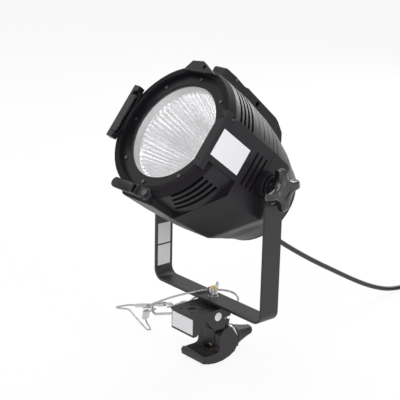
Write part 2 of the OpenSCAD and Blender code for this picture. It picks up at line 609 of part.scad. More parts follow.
// Holes in the rear face for the display, the buttons, the sockets and the gland.
module rear_cuts() translate([0, 0, rear_a - cut]) {
    translate([-22, 22, 0]) cube([44, 18, wall + 2 * cut]);
    for (i = [0:3]) translate([(i - 1.5) * button_pitch, button_v, 0])
        cylinder(r = button_r + 0.3, h = wall + 2 * cut, $fn = 32);
    for (s = [-1, 1]) translate([s * xlr_x, xlr_v, 0])
        cylinder(r = xlr_r + 0.2, h = wall + 2 * cut, $fn = mid);
    translate([0, gland_v, 0]) cylinder(r = 6.2, h = wall + 2 * cut, $fn = mid);
}

// Screws: four in the rear shell's flange and one on each side of the spine.
module housing_screws() color([0.35, 0.35, 0.36]) {
    axial() for (i = [0:3]) rotate([0, 0, 45 + 90 * i]) translate([neck_r + wall, 0, 0]) {
        translate([0, 0, joint_a - flange_t - 2]) cylinder(r = 2.8, h = 2, $fn = 24);
        translate([0, 0, joint_a - flange_t]) cylinder(r = 1.25, h = flange_t + 6, $fn = 24);
    }
    lamp() for (s = [-1, 1]) translate([s * spine_half, spine_v - 5, 71]) rotate([0, s * 90, 0])
        cylinder(r = 2.6, h = 1.2, $fn = 24);
}

// Ring that holds the lens glass, and its screws.
module lens_ring() color([0.17, 0.17, 0.18]) axial() difference() {
    translate([0, 0, shelf_a]) cylinder(d = ring_d, h = ring_t, $fn = fine);
    translate([0, 0, shelf_a - cut]) cylinder(d1 = lens_open_d - 2, d2 = lens_open_d + 2,
        h = ring_t + 2 * cut, $fn = fine);
    for (i = [0:ring_screws_n - 1]) rotate([0, 0, 360 * i / ring_screws_n])
        translate([ring_screw_r, 0, shelf_a - cut]) cylinder(r = 1.8, h = 10, $fn = 24);
}
module ring_screws() color([0.6, 0.6, 0.62]) axial() for (i = [0:ring_screws_n - 1])
    rotate([0, 0, 360 * i / ring_screws_n]) translate([ring_screw_r, 0, 0]) {
        translate([0, 0, ring_a]) cylinder(r = 3, h = 1.6, $fn = 24);
        translate([0, 0, shelf_a - 5]) cylinder(r = 1.55, h = 5 + ring_t, $fn = 24);
    }
module lens_glass() color([0.85, 0.9, 0.92, 0.4]) axial()
    translate([0, 0, shelf_a - glass_t]) cylinder(r = glass_r, h = glass_t, $fn = fine);
module lens_gasket() color([0.1, 0.1, 0.1]) axial() translate([0, 0, shelf_a - glass_t - 1])
    difference() {
        cylinder(r = glass_r, h = 1, $fn = fine);
        translate([0, 0, -cut]) cylinder(r = glass_r - 4.2, h = 4, $fn = fine);
    }

// Deep reflector: a curved wall from the LED to the glass.
mouth_r = glass_r - 5;
mouth_a = shelf_a - glass_t - 1.2;
throat_r = 24;
function mirror_r(a) = throat_r + (mouth_r - throat_r) * pow((a - holder_t) / (mouth_a - holder_t), 0.62);
mirror_steps = 10;
mirror_a = [for (i = [0:mirror_steps]) holder_t + (mouth_a - holder_t) * pow(i / mirror_steps, 1.5)];
module reflector() color([0.9, 0.9, 0.92]) axial() rotate_extrude($fn = fine)
    polygon(concat([for (a = mirror_a) [mirror_r(a) - 1.2, a]],
        [for (i = [mirror_steps:-1:0]) [mirror_r(mirror_a[i]), mirror_a[i]]]));

// LED plate and the holder that presses it on the heat sink.
module cob_led() color([0.95, 0.85, 0.4]) axial() union() {
    translate([-17, -17, 0]) cube([34, 34, cob_t]);
    translate([0, 0, cob_t]) cylinder(r = 13, h = 0.6, $fn = mid);
}
module cob_holder() color([0.9, 0.9, 0.88]) axial() difference() {
    cylinder(r = 32, h = holder_t, $fn = mid);
    translate([-17.2, -17.2, -cut]) cube([34.4, 34.4, cob_t + cut + 0.1]);
    translate([0, 0, -cut]) cylinder(r = 16, h = 8, $fn = mid);
}

// Finned heat sink behind the LED.
module heat_sink() color([0.72, 0.72, 0.74]) axial() {
    difference() {
        translate([0, 0, -sink_base_t]) cylinder(d = sink_d, h = sink_base_t, $fn = fine);
        for (i = [0:3]) rotate([0, 0, 45 + 90 * i]) translate([sink_d / 2 - 4, 0, -sink_base_t - cut])
            cylinder(r = 1.9, h = sink_base_t + 2 * cut, $fn = 24);
    }
    for (i = [0:fin_n - 1]) fin((i - (fin_n - 1) / 2) * fin_pitch);
}
fin_pitch = 6.8;
fin_t = 1.6;
fin_edge = 9;
// One fin at x, as long as the round edge lets it be.
module fin(x) {
    reach = sqrt(pow(sink_d / 2 - fin_edge, 2) - x * x);
    translate([x - fin_t / 2, -reach, fin_end]) cube([fin_t, 2 * reach, fin_l]);
}
module heatsink_screws() color([0.6, 0.6, 0.6]) axial() for (i = [0:3]) rotate([0, 0, 45 + 90 * i])
    translate([sink_d / 2 - 4, 0, 0]) {
        translate([0, 0, -sink_base_t - 3]) cylinder(r = 3.2, h = 3, $fn = 24);
        translate([0, 0, -sink_base_t]) cylinder(r = 1.65, h = sink_base_t + 3, $fn = 24);
    }

// Square fan frame, and the rotor that turns in it.
module fan_frame() color([0.1, 0.1, 0.1]) axial() translate([0, 0, fin_end - fan_t]) {
    difference() {
        intersection() {
            translate([-fan_s / 2, -fan_s / 2, 0]) cube([fan_s, fan_s, fan_t]);
            cylinder(r = fan_s * 0.66, h = fan_t, $fn = mid);
        }
        translate([0, 0, -cut]) cylinder(d = fan_s - 5, h = fan_t + 2 * cut, $fn = fine);
    }
    cylinder(r = 18, h = 3, $fn = mid);
    for (i = [0:3]) rotate([0, 0, 30 + 90 * i]) translate([0, -3, 0]) cube([fan_s / 2 - 2, 6, 3]);
    cylinder(r = 3, h = fan_t - 6, $fn = mid);
}
module fan_rotor() color([0.15, 0.15, 0.15]) axial() translate([0, 0, fin_end - fan_t + 3 + face_gap])
    difference() {
        union() {
            cylinder(r = 20, h = 19, $fn = mid);
            for (i = [0:blade_n - 1]) rotate([0, 0, 360 * i / blade_n])
                translate([19, 0, 3]) rotate([38, 0, 0]) translate([0, -1, 0])
                    cube([fan_s / 2 - 4 - 19, 2, 17]);
        }
        translate([0, 0, -cut]) cylinder(r = 3 + run_gap, h = fan_t - 9 + 2 * cut, $fn = mid);
    }

// Power supply on four posts from the rear face.
module power_supply() color([0.25, 0.4, 0.3]) lamp() translate([0, axis_v, 0]) {
    translate([-45, -40, -130]) cube([90, 68, 2]);
    translate([-38, -22, -128]) cube([34, 40, 16]);
    translate([4, -20, -128]) cube([28, 30, 12]);
    for (s = [-1, 1]) for (p = [[33, 20], [12, -36]]) translate([s * p[0], p[1], rear_a + wall])
        cylinder(r = 2.5, h = -130 - rear_a - wall, $fn = 24);
}
module control_board() color([0.15, 0.35, 0.2]) lamp() {
    translate([-27, 9, rear_a + 8.5]) cube([54, 29, 1.6]);
    translate([-20, 23, rear_a + wall]) cube([40, 15, 5.5]);
    for (i = [0:3]) translate([(i - 1.5) * button_pitch - 3, button_v - 3, rear_a + wall + 3.5])
        cube([6, 6, 5]);
}
module display_window() color([0.05, 0.07, 0.1]) lamp()
    translate([-21.8, 22.2, rear_a - 0.4]) cube([43.6, 17.6, wall + 0.4]);

// Menu buttons. Each stands out of the rear face and travels into it.
button_out = 2;
module button(i) color([0.3, 0.3, 0.32]) lamp()
    translate([(i - 1.5) * button_pitch, button_v, rear_a - button_out]) {
        cylinder(r = button_r, h = button_out + wall + 1.5, $fn = 32);
        translate([0, 0, button_out + wall + 0.3]) cylinder(r = button_r + 1, h = 1.2, $fn = 32);
    }
module button_1() button(0);
module button_2() button(1);
module button_3() button(2);
module button_4() button(3);

// Round data sockets with square flanges.
module socket(s, pins) color([0.6, 0.6, 0.62]) lamp() translate([s * xlr_x, xlr_v, 0]) difference() {
    union() {
        translate([-11, -12, rear_a - 2]) cube([22, 24, 2]);
        translate([0, 0, rear_a]) cylinder(r = xlr_r, h = 20, $fn = mid);
    }
    if (pins) translate([0, 0, rear_a - 3]) difference() {
        cylinder(r = 9, h = 16, $fn = mid);
        for (k = [0:2]) rotate([0, 0, 120 * k + 30]) translate([5, 0, 0])
            cylinder(r = 1.2, h = 17, $fn = 16);
    }
    if (!pins) for (k = [0:2]) rotate([0, 0, 120 * k + 30]) translate([5, 0, rear_a - 3])
        cylinder(r = 1.5, h = 14, $fn = 16);
}
module data_in() socket(-1, true);
module data_out() socket(1, false);

// Cord gland with a ribbed nose.
module cord_gland() color([0.09, 0.09, 0.09]) lamp() translate([0, gland_v, rear_a]) rotate([180, 0, 0])
    rotate_extrude($fn = mid) polygon([[0, -wall - 3], [6, -wall - 3], [6, 0], [10, 0], [10, gland_base_t],
        [8, gland_base_t], [8, 6], [7, 7], [7.6, 8], [7, 9], [7.4, 10], [6.6, 11], [7, 12],
        [6, gland_l], [0, gland_l]]);

// Accessory rail on one side: a foot on the housing's front, the outer wall, and the lip over the slot.
module rail(s) color([0.12, 0.12, 0.13]) lamp() mirror([s < 0 ? 1 : 0, 0, 0]) {
    translate([side_x - 14, -36, front_a]) cube([14, 76, foot_t]);
    translate([side_x - 6, side_low + 9, front_a]) cube([6, side_high - side_low - 7, rail_t]);
    translate([side_x - 17, -33, front_a + rail_t - foot_t]) cube([17, 69, foot_t]);
    for (v = [side_low + 9, side_high - 8]) translate([side_x - 14, v, front_a]) cube([14, 10, rail_t]);
}
module rail_right() rail(1);
module rail_left() rail(-1);

// Lug at the top of the front with a hole for a safety wire.
module top_lug() color([0.12, 0.12, 0.13]) lamp() difference() {
    translate([0, 0, front_a]) linear_extrude(lug_t) polygon([[-34, 102], [-24, housing_r + 4],
        [1, housing_r + 7], [38, 107]]);
    translate([lug_hole_x, lug_hole_v, front_a - cut]) cylinder(r = 3.2, h = lug_t + 2 * cut, $fn = mid);
}
lug_hole_x = 9;
lug_hole_v = 114.5;

// Swinging latch below the lens that keeps an accessory frame in its slot.
module frame_latch() color([0.13, 0.13, 0.14]) lamp() translate([0, latch_v, front_a + face_gap])
    difference() {
        union() {
            translate([latch_end_x, -8.5, 0]) cube([latch_pivot_x - latch_end_x, 17, latch_t]);
            translate([latch_pivot_x, 0, 0]) cylinder(r = 10, h = latch_t, $fn = mid);
            translate([latch_end_x, 0, 0]) cylinder(r = 8.5, h = latch_t, $fn = mid);
            translate([-1, -8.5, latch_t]) cube([16, 17, 3]);
        }
        translate([4, -6, 2]) cube([7, 12, 20]);
        translate([latch_pivot_x, 0, -cut]) cylinder(r = 2.5 + run_gap, h = 20, $fn = mid);
    }
// Pivot screw of the latch.
module latch_screws() color([0.55, 0.55, 0.57]) lamp() translate([latch_pivot_x, latch_v, front_a]) {
    cylinder(r = 2.5, h = latch_t + 2 * face_gap, $fn = mid);
    translate([0, 0, latch_t + 2 * face_gap]) cylinder(r = 5, h = 2.2, $fn = mid);
}

module side_label() color([0.93, 0.93, 0.94]) lamp() translate([side_x, -18.5, 66]) cube([0.3, 45, 70]);

// Free stretch of the mains cord, from the gland to the coil.
function head_point(x, v, a) = [x, bolt_y - a * cos(head_tilt) + v * sin(head_tilt),
    pivot_z + a * sin(head_tilt) + v * cos(head_tilt)];
cord_start = [head_point(0, gland_v, rear_a - gland_l), head_point(0, gland_v, rear_a - gland_l - 12)];
module power_cord() color([0.07, 0.07, 0.07])
    tube(smooth_route(concat(cord_start, cord_route), cord_step), cord_d / 2, 10);

// Coil: it winds in over one layer, climbs, and winds out over the next.
coil_n = 24;
function ease(t) = let (u = min(max(t, 0), 1)) u * u * (3 - 2 * u);
function coil_point(u) = let (w = u <= coil_turns ? u : 2 * coil_turns - u,
        r = coil_r - coil_step * ease_in(w), z = coil_z + coil_rise * ease((u - coil_turns + 0.25) / 0.5)
            + (plug_r - cord_d / 2 - coil_rise) * ease((u - 2 * coil_turns + 0.3) / 0.3))
    [coil_r - r * cos(360 * u), coil_y + r * sin(360 * u), z];
function ease_in(w) = w < 0.25 ? 2 * w * w : w - 0.125;
coil_points = concat([[0, coil_y, coil_z]], [for (i = [1:2 * coil_turns * coil_n]) coil_point(i / coil_n)]);
coil_end = coil_points[len(coil_points) - 1];
coil_path = concat(coil_points, [coil_end + [0, plug_gap, 0]]);
// Least gap between the coil's turns, measured on its points.
coil_gap = min([for (i = [0:len(coil_path) - 1]) for (j = [i + 12:1:len(coil_path) - 1])
    norm(coil_path[i] - coil_path[j]) - cord_d]);
echo(coil_gap = coil_gap);
echo(cord_length = route_length(concat(cord_start, cord_route)) + route_length(coil_path));
echo(rope_length = route_length(smooth_route(rope_route, rope_step)));
module cord_coil() color([0.07, 0.07, 0.07]) tube(coil_path, cord_d / 2, 6);

// Moulded mains plug with two round pins.
module mains_plug() color([0.08, 0.08, 0.08]) translate(coil_end + [0, plug_gap, 0]) rotate([-90, 0, 0]) {
    rotate_extrude($fn = mid) polygon([[0, 0], [6, 0], [7, 14], [12, 20], [plug_r, 26], [plug_r, 46],
        [plug_r - 2, 48], [0, 48]]);
    for (s = [-1, 1]) translate([s * 9.5, 0, 48]) cylinder(r = 2.4, h = 19, $fn = 24);
}

saddle();
hook();
saddle_screws();
pad();
jaw();
jaw_tip();
lead_screw();
handle_collar();
handle_grip();
yoke_bolt();
saddle_label();
saddle_sticker();
yoke();
bolt_washer();
wing_nut();
yoke_label();
leg_washers();
safety_rope();
rope_ferrules();
quick_link();
link_sleeve();
knob_right();
knob_left();
pivot_boss_right();
pivot_boss_left();
friction_pad_right();
friction_pad_left();
main_housing();
rear_shell();
housing_screws();
lens_ring();
ring_screws();
lens_glass();
lens_gasket();
reflector();
cob_led();
cob_holder();
heat_sink();
heatsink_screws();
fan_frame();
fan_rotor();
power_supply();
control_board();
display_window();
button_1();
button_2();
button_3();
button_4();
data_in();
data_out();
cord_gland();
rail_right();
rail_left();
top_lug();
frame_latch();
latch_screws();
side_label();
power_cord();
cord_coil();
mains_plug();
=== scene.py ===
"""LED spotlight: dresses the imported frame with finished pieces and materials, and sets its stage."""
import math

import bmesh
import bpy
import numpy as np
from bpy.props import FloatProperty, FloatVectorProperty, IntProperty, PointerProperty
from mathutils import Matrix


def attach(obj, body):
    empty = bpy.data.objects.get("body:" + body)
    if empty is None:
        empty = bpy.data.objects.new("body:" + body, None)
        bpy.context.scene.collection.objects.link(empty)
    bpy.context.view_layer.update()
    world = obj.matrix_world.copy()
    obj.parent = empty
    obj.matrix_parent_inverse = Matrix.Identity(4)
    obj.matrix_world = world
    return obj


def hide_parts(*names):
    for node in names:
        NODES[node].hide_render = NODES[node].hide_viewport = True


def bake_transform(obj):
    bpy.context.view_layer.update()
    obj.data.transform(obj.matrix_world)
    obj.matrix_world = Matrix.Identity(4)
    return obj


bl_info = {
    "name": "LED Spotlight",
    "version": (1, 0, 0),
    "blender": (4, 5, 0),
    "location": "View3D > Sidebar > Spotlight",
    "description": "Dresses the frame of an LED spotlight and sets its stage",
    "category": "Object",
}

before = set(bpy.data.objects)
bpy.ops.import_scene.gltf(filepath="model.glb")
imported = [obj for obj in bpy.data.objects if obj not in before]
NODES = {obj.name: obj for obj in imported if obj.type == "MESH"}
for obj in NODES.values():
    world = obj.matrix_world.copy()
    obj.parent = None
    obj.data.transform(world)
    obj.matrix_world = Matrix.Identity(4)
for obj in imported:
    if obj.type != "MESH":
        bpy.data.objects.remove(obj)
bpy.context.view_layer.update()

# The lamp's own frame, in millimetres: x is its width, v its height, a its way forward.
TILT = math.radians(38)
PIVOT_Y, PIVOT_Z = 40.0, 294.665
AXIS_V = 3.0
FLOOR_Z = -46.5
JOINT_A, REAR_A, FRONT_A = -115.0, -155.0, 132.0
SEAT_A = 122.5
GLASS_T = 3.0
RECESS_R, GLASS_R, BORE_R = 103.5, 89.0, 84.5
GLAND_V, GLAND_L = -30.0, 14.0
KNOB_X = 141.7
SCREW_Z, GRIP_Y = -20.0, 82.0


def lamp(points):
    """Turns (x, v, a) in the lamp's frame into metres in the row frame: a turn about X, then a shift."""
    x, v, a = np.moveaxis(np.asarray(points, float), -1, 0)
    y = PIVOT_Y - a * math.cos(TILT) + v * math.sin(TILT)
    z = PIVOT_Z + a * math.sin(TILT) + v * math.cos(TILT)
    return np.stack([x, y, z], -1) / 1000


def row(points):
    """Turns millimetres in the row frame into metres."""
    return np.asarray(points, float) / 1000


def about_axis(radius, turn, place):
    """Points at a radius, an angle and a place along the lamp's axis, in metres in the row frame."""
    return lamp(np.stack([radius * np.cos(turn), radius * np.sin(turn) + AXIS_V, place], -1))


# Meshes


def grid_faces(rows, cols, wrap_rows=False):
    """Quads of a grid of points whose rows close on themselves, and its columns where asked."""
    r, c = np.meshgrid(np.arange(rows if wrap_rows else rows - 1), np.arange(cols), indexing="ij")
    r2, c2 = (r + 1) % rows, (c + 1) % cols
    quads = np.stack([r * cols + c, r * cols + c2, r2 * cols + c2, r2 * cols + c], -1)
    return quads.reshape(-1, 4)


def tidy_mesh(mesh, crease, joined=False):
    """Merges doubles, and marks edges sharper than the crease angle.

    Before that, flat faces are joined, or else every face is turned outwards.
    """
    bm = bmesh.new()
    bm.from_mesh(mesh)
    bmesh.ops.remove_doubles(bm, verts=bm.verts, dist=2e-6)
    if joined:
        bmesh.ops.dissolve_limit(bm, angle_limit=math.radians(0.6), verts=bm.verts, edges=bm.edges)
    else:
        bmesh.ops.dissolve_degenerate(bm, edges=bm.edges, dist=1e-7)
        bmesh.ops.recalc_face_normals(bm, faces=bm.faces)
    bm.to_mesh(mesh)
    bm.free()
    mesh.shade_smooth()
    mesh.set_sharp_from_angle(angle=math.radians(crease))


def piece(name, points, faces, body, look, replaced, crease, uv=None):
    """Makes one piece from points in metres and faces. uv is kept as the attribute along."""
    mesh = bpy.data.meshes.new(name)
    points = np.asarray(points, float).reshape(-1, 3)
    mesh.from_pydata(points.tolist(), [], faces if isinstance(faces, list) else faces.tolist())
    if uv is not None:
        layer = mesh.attributes.new("along", "FLOAT_VECTOR", "POINT")
        layer.data.foreach_set("vector", np.asarray(uv, float).reshape(-1))
    tidy_mesh(mesh, crease)
    return placed(name, mesh, body, look, replaced)


def placed(name, mesh, body, look, replaced):
    """Makes a mesh's object, and gives it its finish, body and replaced nodes."""
    obj = bpy.data.objects.new(name, mesh)
    bpy.context.scene.collection.objects.link(obj)
    mesh.materials.append(look)
    if body:
        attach(obj, body)
    if replaced:
        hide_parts(*replaced)
    return obj


def prism(outline, half):
    """Closed prism: an outline of (a, v), carried along x from -half to half."""
    a, v = np.asarray(outline, float).T
    n = len(a)
    ends = [np.stack([np.full(n, x), v, a], -1) for x in (-half, half)]
    sides = grid_faces(2, n).tolist()
    return lamp(np.concatenate(ends)), sides + [list(range(n)), list(range(n, 2 * n))]


def pierced(outline, hole, half):
    """The same prism with a hole, whose outline is of (a, v) too."""
    bm = bmesh.new()
    for loop in (outline, hole):
        verts = [bm.verts.new((-half, v, a)) for a, v in loop]
        for k, vert in enumerate(verts):
            bm.edges.new((verts[k - 1], vert))
    bmesh.ops.triangle_fill(bm, edges=bm.edges, use_beauty=True, use_dissolve=True)
    moved = bmesh.ops.extrude_face_region(bm, geom=bm.faces[:], use_keep_orig=True)
    for item in moved["geom"]:
        if isinstance(item, bmesh.types.BMVert):
            item.co.x = half
    bm.verts.index_update()
    points = lamp([list(v.co) for v in bm.verts])
    faces = [[v.index for v in face.verts] for face in bm.faces]
    bm.free()
    return points, faces


def through(points, step):
    """Smooth curve through points: between two of them, the cubic that leaves along their neighbours."""
    p = np.asarray(points, float)
    ends = np.concatenate([p[:1], p, p[-1:]])
    parts = []
    for i in range(len(p) - 1):
        a, b, c, d = ends[i:i + 4]
        n = max(1, int(round(np.linalg.norm(c - b) / step)))
        t = (np.arange(n) / n)[:, None]
        parts.append(0.5 * (2 * b + (c - a) * t + (2 * a - 5 * b + 4 * c - d) * t**2
                            + (3 * b - a - 3 * c + d) * t**3))
    return np.concatenate(parts + [p[-1:]])


def run_along(path):
    """Distance along a path at each of its points."""
    return np.concatenate([[0], np.cumsum(np.linalg.norm(np.diff(path, axis=0), axis=1))])


def tube(path, radius, sides):
    """Closed tube: circles square to the path, each turned as little as it can from the one before.

    radius is a number, or a function of the angle round the tube and the distance along it.
    """
    tangent = np.gradient(path, axis=0)
    tangent /= np.linalg.norm(tangent, axis=1)[:, None]
    side = np.cross(tangent[0], [0.3, 1.0, 0.2])
    across = []
    for t in tangent:
        side = side - side.dot(t) * t
        side /= np.linalg.norm(side)
        across.append(side)
    across = np.array(across)
    up = np.cross(tangent, across)
    angle = np.linspace(0, 2 * np.pi, sides, endpoint=False)[None, :]
    along = run_along(path)[:, None]
    r = radius(angle, along) if callable(radius) else radius + 0 * (angle + along)
    rings = (path[:, None] + (r * np.cos(angle))[..., None] * across[:, None]
             + (r * np.sin(angle))[..., None] * up[:, None])
    n = len(path)
    points = np.concatenate([rings.reshape(-1, 3), path[[0, -1]]])
    faces = grid_faces(n, sides).tolist()
    middle, last = n * sides, (n - 1) * sides
    faces += [[middle, (k + 1) % sides, k] for k in range(sides)]
    faces += [[middle + 1, last + k, last + (k + 1) % sides] for k in range(sides)]
    uv = np.zeros((len(points), 3))
    for k, share in enumerate((angle / (2 * np.pi), along)):
        uv[:middle, k] = np.broadcast_to(share, (n, sides)).reshape(-1)
    return points, faces, uv


def dressed(node, body, look, edge):
    """Finished copy of a CAD node: merged, its flat faces joined, and its edges rounded by a bevel."""
    mesh = NODES[node].data.copy()
    mesh.name = node + "_finished"
    tidy_mesh(mesh, 35.0, joined=True)
    mesh.materials.clear()
    obj = placed(node + "_finished", mesh, body, look, (node,))
    bevel(obj, edge)
    return obj


def bevel(obj, width, segments=2):
    """Rounds the edges of a piece that turn by more than 30 degrees, by a width in millimetres."""
    mod = obj.modifiers.new("edge", "BEVEL")
    mod.width = width / 1000
    mod.segments = segments
    mod.limit_method = "ANGLE"
    mod.angle_limit = math.radians(30)
    mod.use_clamp_overlap = True
    mod.harden_normals = True


# Materials


def put(value, socket):
    """Links a varying value to a socket, or sets the socket to a plain one."""
    if isinstance(value, Value):
        value.tree.links.new(value.socket, socket)
    else:
        socket.default_value = value


class Value:
    """A varying number in a material's nodes, with arithmetic written as Python."""

    def __init__(self, tree, socket):
        self.tree = tree
        self.socket = socket

    def math(self, operation, *terms, clamp=False):
        node = self.tree.nodes.new("ShaderNodeMath")
        node.operation = operation
        node.use_clamp = clamp
        for place, term in zip(node.inputs, terms):
            put(term, place)
        return Value(self.tree, node.outputs[0])

    def __add__(self, other):
        return self.math("ADD", self, other)

    def __sub__(self, other):
        return self.math("SUBTRACT", self, other)

    def __rsub__(self, other):
        return self.math("SUBTRACT", other, self)

    def __mul__(self, other):
        return self.math("MULTIPLY", self, other)

    def __lt__(self, other):
        return self.math("LESS_THAN", self, other)

    def sine(self):
        return self.math("SINE", self)

    def held(self):
        """The value, held between 0 and 1."""
        return self.math("ADD", self, 0.0, clamp=True)

    __radd__ = __add__
    __rmul__ = __mul__


class Finish:
    """One material: its shader, the sockets that are the same all over, and what varies."""

    def __init__(self, name, **fixed):
        self.material = bpy.data.materials.new(name)
        self.material.use_nodes = True
        self.tree = self.material.node_tree
        self.shader = self.tree.nodes["Principled BSDF"]
        self.object_place = self.node("ShaderNodeTexCoord", out="Object")
        for key, value in fixed.items():
            self.shader.inputs[key.replace("_", " ")].default_value = value

    def node(self, kind, inputs=None, out=0, **settings):
        """Makes a node: its settings first, then the values or links of its sockets."""
        node = self.tree.nodes.new(kind)
        for key, value in settings.items():
            setattr(node, key, value)
        for key, value in (inputs or {}).items():
            put(value, node.inputs[key])
        return Value(self.tree, node.outputs[out])

    def noise(self, scale, detail=3.0, roughness=0.5, stretch=None):
        """Cloudy pattern from 0 to 1 on the object's own coordinates, stretched where asked."""
        place = self.object_place
        if stretch:
            place = self.node("ShaderNodeMapping", {"Vector": place, "Scale": stretch})
        return self.node("ShaderNodeTexNoise",
                         {"Vector": place, "Scale": scale, "Detail": detail, "Roughness": roughness})

    def cells(self, scale, kind="F1"):
        """Distance to the middle or, with its kind, to the edge of the nearest cell."""
        return self.node("ShaderNodeTexVoronoi", {"Vector": self.object_place, "Scale": scale},
                         out="Distance", feature=kind)

    def along(self):
        """A tube's own coordinates from its attribute: its turn from 0 to 1, and the distance along it."""
        place = self.node("ShaderNodeAttribute", out="Vector", attribute_name="along")
        split = self.tree.nodes.new("ShaderNodeSeparateXYZ")
        put(place, split.inputs[0])
        return [Value(self.tree, s) for s in split.outputs[:2]]

    def blend(self, factor, low, high):
        """Colour between two, each of them plain or varying."""
        mix = self.tree.nodes.new("ShaderNodeMix")
        mix.data_type = "RGBA"
        for key, kind, value in (("Factor", "VALUE", factor), ("A", "RGBA", low), ("B", "RGBA", high)):
            put(value, next(s for s in mix.inputs if s.name == key and s.type == kind))
        return Value(self.tree, next(s for s in mix.outputs if s.type == "RGBA"))

    def feed(self, socket, value):
        self.tree.links.new(value.socket, self.shader.inputs[socket])

    def bump(self, height, strength, distance):
        self.feed("Normal", self.node("ShaderNodeBump", {
            "Height": height, "Strength": strength, "Distance": distance}, out="Normal"))


def tone(colour, by):
    """Colour with alpha, scaled."""
    return tuple(min(1.0, c * by) for c in colour[:3]) + (1.0,)


def coat(name, colour, roughness, grain, relief, sheen=0.5):
    """Powder coat or cast paint: fine grain in the relief, broad clouds in colour and gloss, dust."""
    f = Finish(name, Specular_IOR_Level=sheen)
    fine = f.noise(grain, 4.0, 0.6)
    broad = f.noise(22.0, 3.0)
    dust = (f.noise(900.0, 2.0) - 0.68).held() * 2.2
    base = f.blend(broad, tone(colour, 0.82), tone(colour, 1.2))
    f.feed("Base Color", f.blend(dust, base, tone(colour, 2.6)))
    f.feed("Roughness", roughness + (broad - 0.5) * 0.16 + (fine - 0.5) * 0.1)
    f.bump(fine, relief, 0.0004)
    return f.material


def gloss(name, colour):
    """Polished plastic: faint waves in the relief, hair scratches and smears in the gloss."""
    f = Finish(name, Coat_Roughness=0.05, Specular_IOR_Level=0.55)
    wave = f.noise(60.0, 2.0)
    scratch = f.noise(300.0, 5.0, 0.7, stretch=(1.0, 1.0, 9.0))
    f.feed("Base Color", f.blend(wave, tone(colour, 0.8), tone(colour, 1.3)))
    f.feed("Roughness", 0.16 + (wave - 0.5) * 0.1 + (scratch - 0.5) * 0.12)
    f.feed("Coat Weight", 0.4 + (wave - 0.5) * 0.2)
    f.bump(scratch, 0.06, 0.0003)
    return f.material


def metal(name, colour, roughness, brush=(1.0, 1.0, 1.0), scale=500.0, stain=0.25):
    """Bare or plated metal: fine brushing along one way, darker stains, and uneven gloss."""
    f = Finish(name, Metallic=1.0)
    line = f.noise(scale, 4.0, 0.6, stretch=brush)
    cloud = f.noise(70.0, 3.0)
    mark = (f.noise(260.0, 3.0) - 0.6).held() * 2.0
    base = f.blend(cloud, tone(colour, 0.88), tone(colour, 1.08))
    f.feed("Base Color", f.blend(mark * stain, base, tone(colour, 0.35)))
    f.feed("Roughness", roughness + (cloud - 0.5) * 0.16 + (line - 0.5) * 0.18)
    f.bump(line, 0.1, 0.0003)
    return f.material


def rubber(name, colour):
    """Rubber: fine matt grain with pale bloom."""
    f = Finish(name, Specular_IOR_Level=0.35)
    fine = f.noise(1400.0, 3.0)
    bloom = f.noise(45.0, 4.0, 0.6)
    f.feed("Base Color", f.blend(bloom, tone(colour, 0.75), tone(colour, 1.7)))
    f.feed("Roughness", 0.72 + (bloom - 0.5) * 0.2)
    f.bump(fine, 0.25, 0.0003)
    return f.material


def sheath(name, colour):
    """Cable sheath: smooth rubber with faint rings across its length, and scuffs."""
    f = Finish(name, Specular_IOR_Level=0.45)
    _, along = f.along()
    ring = (along * 2600.0).sine()
    scuff = f.noise(160.0, 4.0, 0.65)
    f.feed("Base Color", f.blend(scuff, tone(colour, 0.7), tone(colour, 2.0)))
    f.feed("Roughness", 0.42 + (scuff - 0.5) * 0.3)
    f.bump(ring * 0.15 + scuff, 0.2, 0.0002)
    return f.material


def rope_finish(name, colour):
    """Stranded steel rope: thin wires wound across each strand, with dark oil in the valleys."""
    f = Finish(name, Metallic=1.0)
    around, along = f.along()
    wire = (around * 6.2832 * 18.0 + along * 2400.0).sine()
    strand = (around * 6.2832 * 6.0 - along * 1885.0).sine()
    grime = f.noise(300.0, 3.0)
    valley = (0.35 - strand * 0.5).held()
    base = f.blend(valley, tone(colour, 1.05), tone(colour, 0.3))
    f.feed("Base Color", f.blend((grime - 0.55).held() * 1.5, base, tone(colour, 0.45)))
    f.feed("Roughness", 0.34 + valley * 0.25 + (grime - 0.5) * 0.12)
    f.bump(wire * 0.4 + strand, 0.5, 0.0003)
    return f.material


def sticker(name, colour):
    """Blank sticker: paper grain, faint soiling and a little gloss."""
    f = Finish(name, Specular_IOR_Level=0.3)
    grain = f.noise(1600.0, 3.0)
    soil = f.noise(35.0, 4.0)
    f.feed("Base Color", f.blend(soil, tone(colour, 0.94), tone(colour, 1.03)))
    f.feed("Roughness", 0.5 + (grain - 0.5) * 0.2)
    f.bump(grain, 0.08, 0.0002)
    return f.material


def mirror(name, colour):
    """Bright reflector: satin metal with broad clouds, and a very fine haze in its gloss."""
    f = Finish(name, Metallic=1.0)
    haze = f.noise(420.0, 3.0, 0.6)
    cloud = f.noise(30.0, 2.0)
    f.feed("Base Color", f.blend(cloud, tone(colour, 0.93), tone(colour, 1.03)))
    f.feed("Roughness", 0.24 + (haze - 0.5) * 0.1 + (cloud - 0.5) * 0.06)
    f.bump(haze, 0.02, 0.0002)
    return f.material


def glass(name):
    """Clear front glass: nearly all light goes through, with gloss, a faint tint and specks of dust."""
    f = Finish(name, IOR=1.45)
    dust = (f.noise(500.0, 3.0) - 0.66).held()
    smear = f.noise(18.0, 3.0)
    f.feed("Base Color", f.blend(smear, (0.9, 0.95, 0.95, 1), (0.97, 0.98, 0.98, 1)))
    f.feed("Alpha", 0.05 + dust * 0.5)
    f.feed("Roughness", 0.03 + smear * 0.05)
    f.material.surface_render_method = "BLENDED"
    return f.material


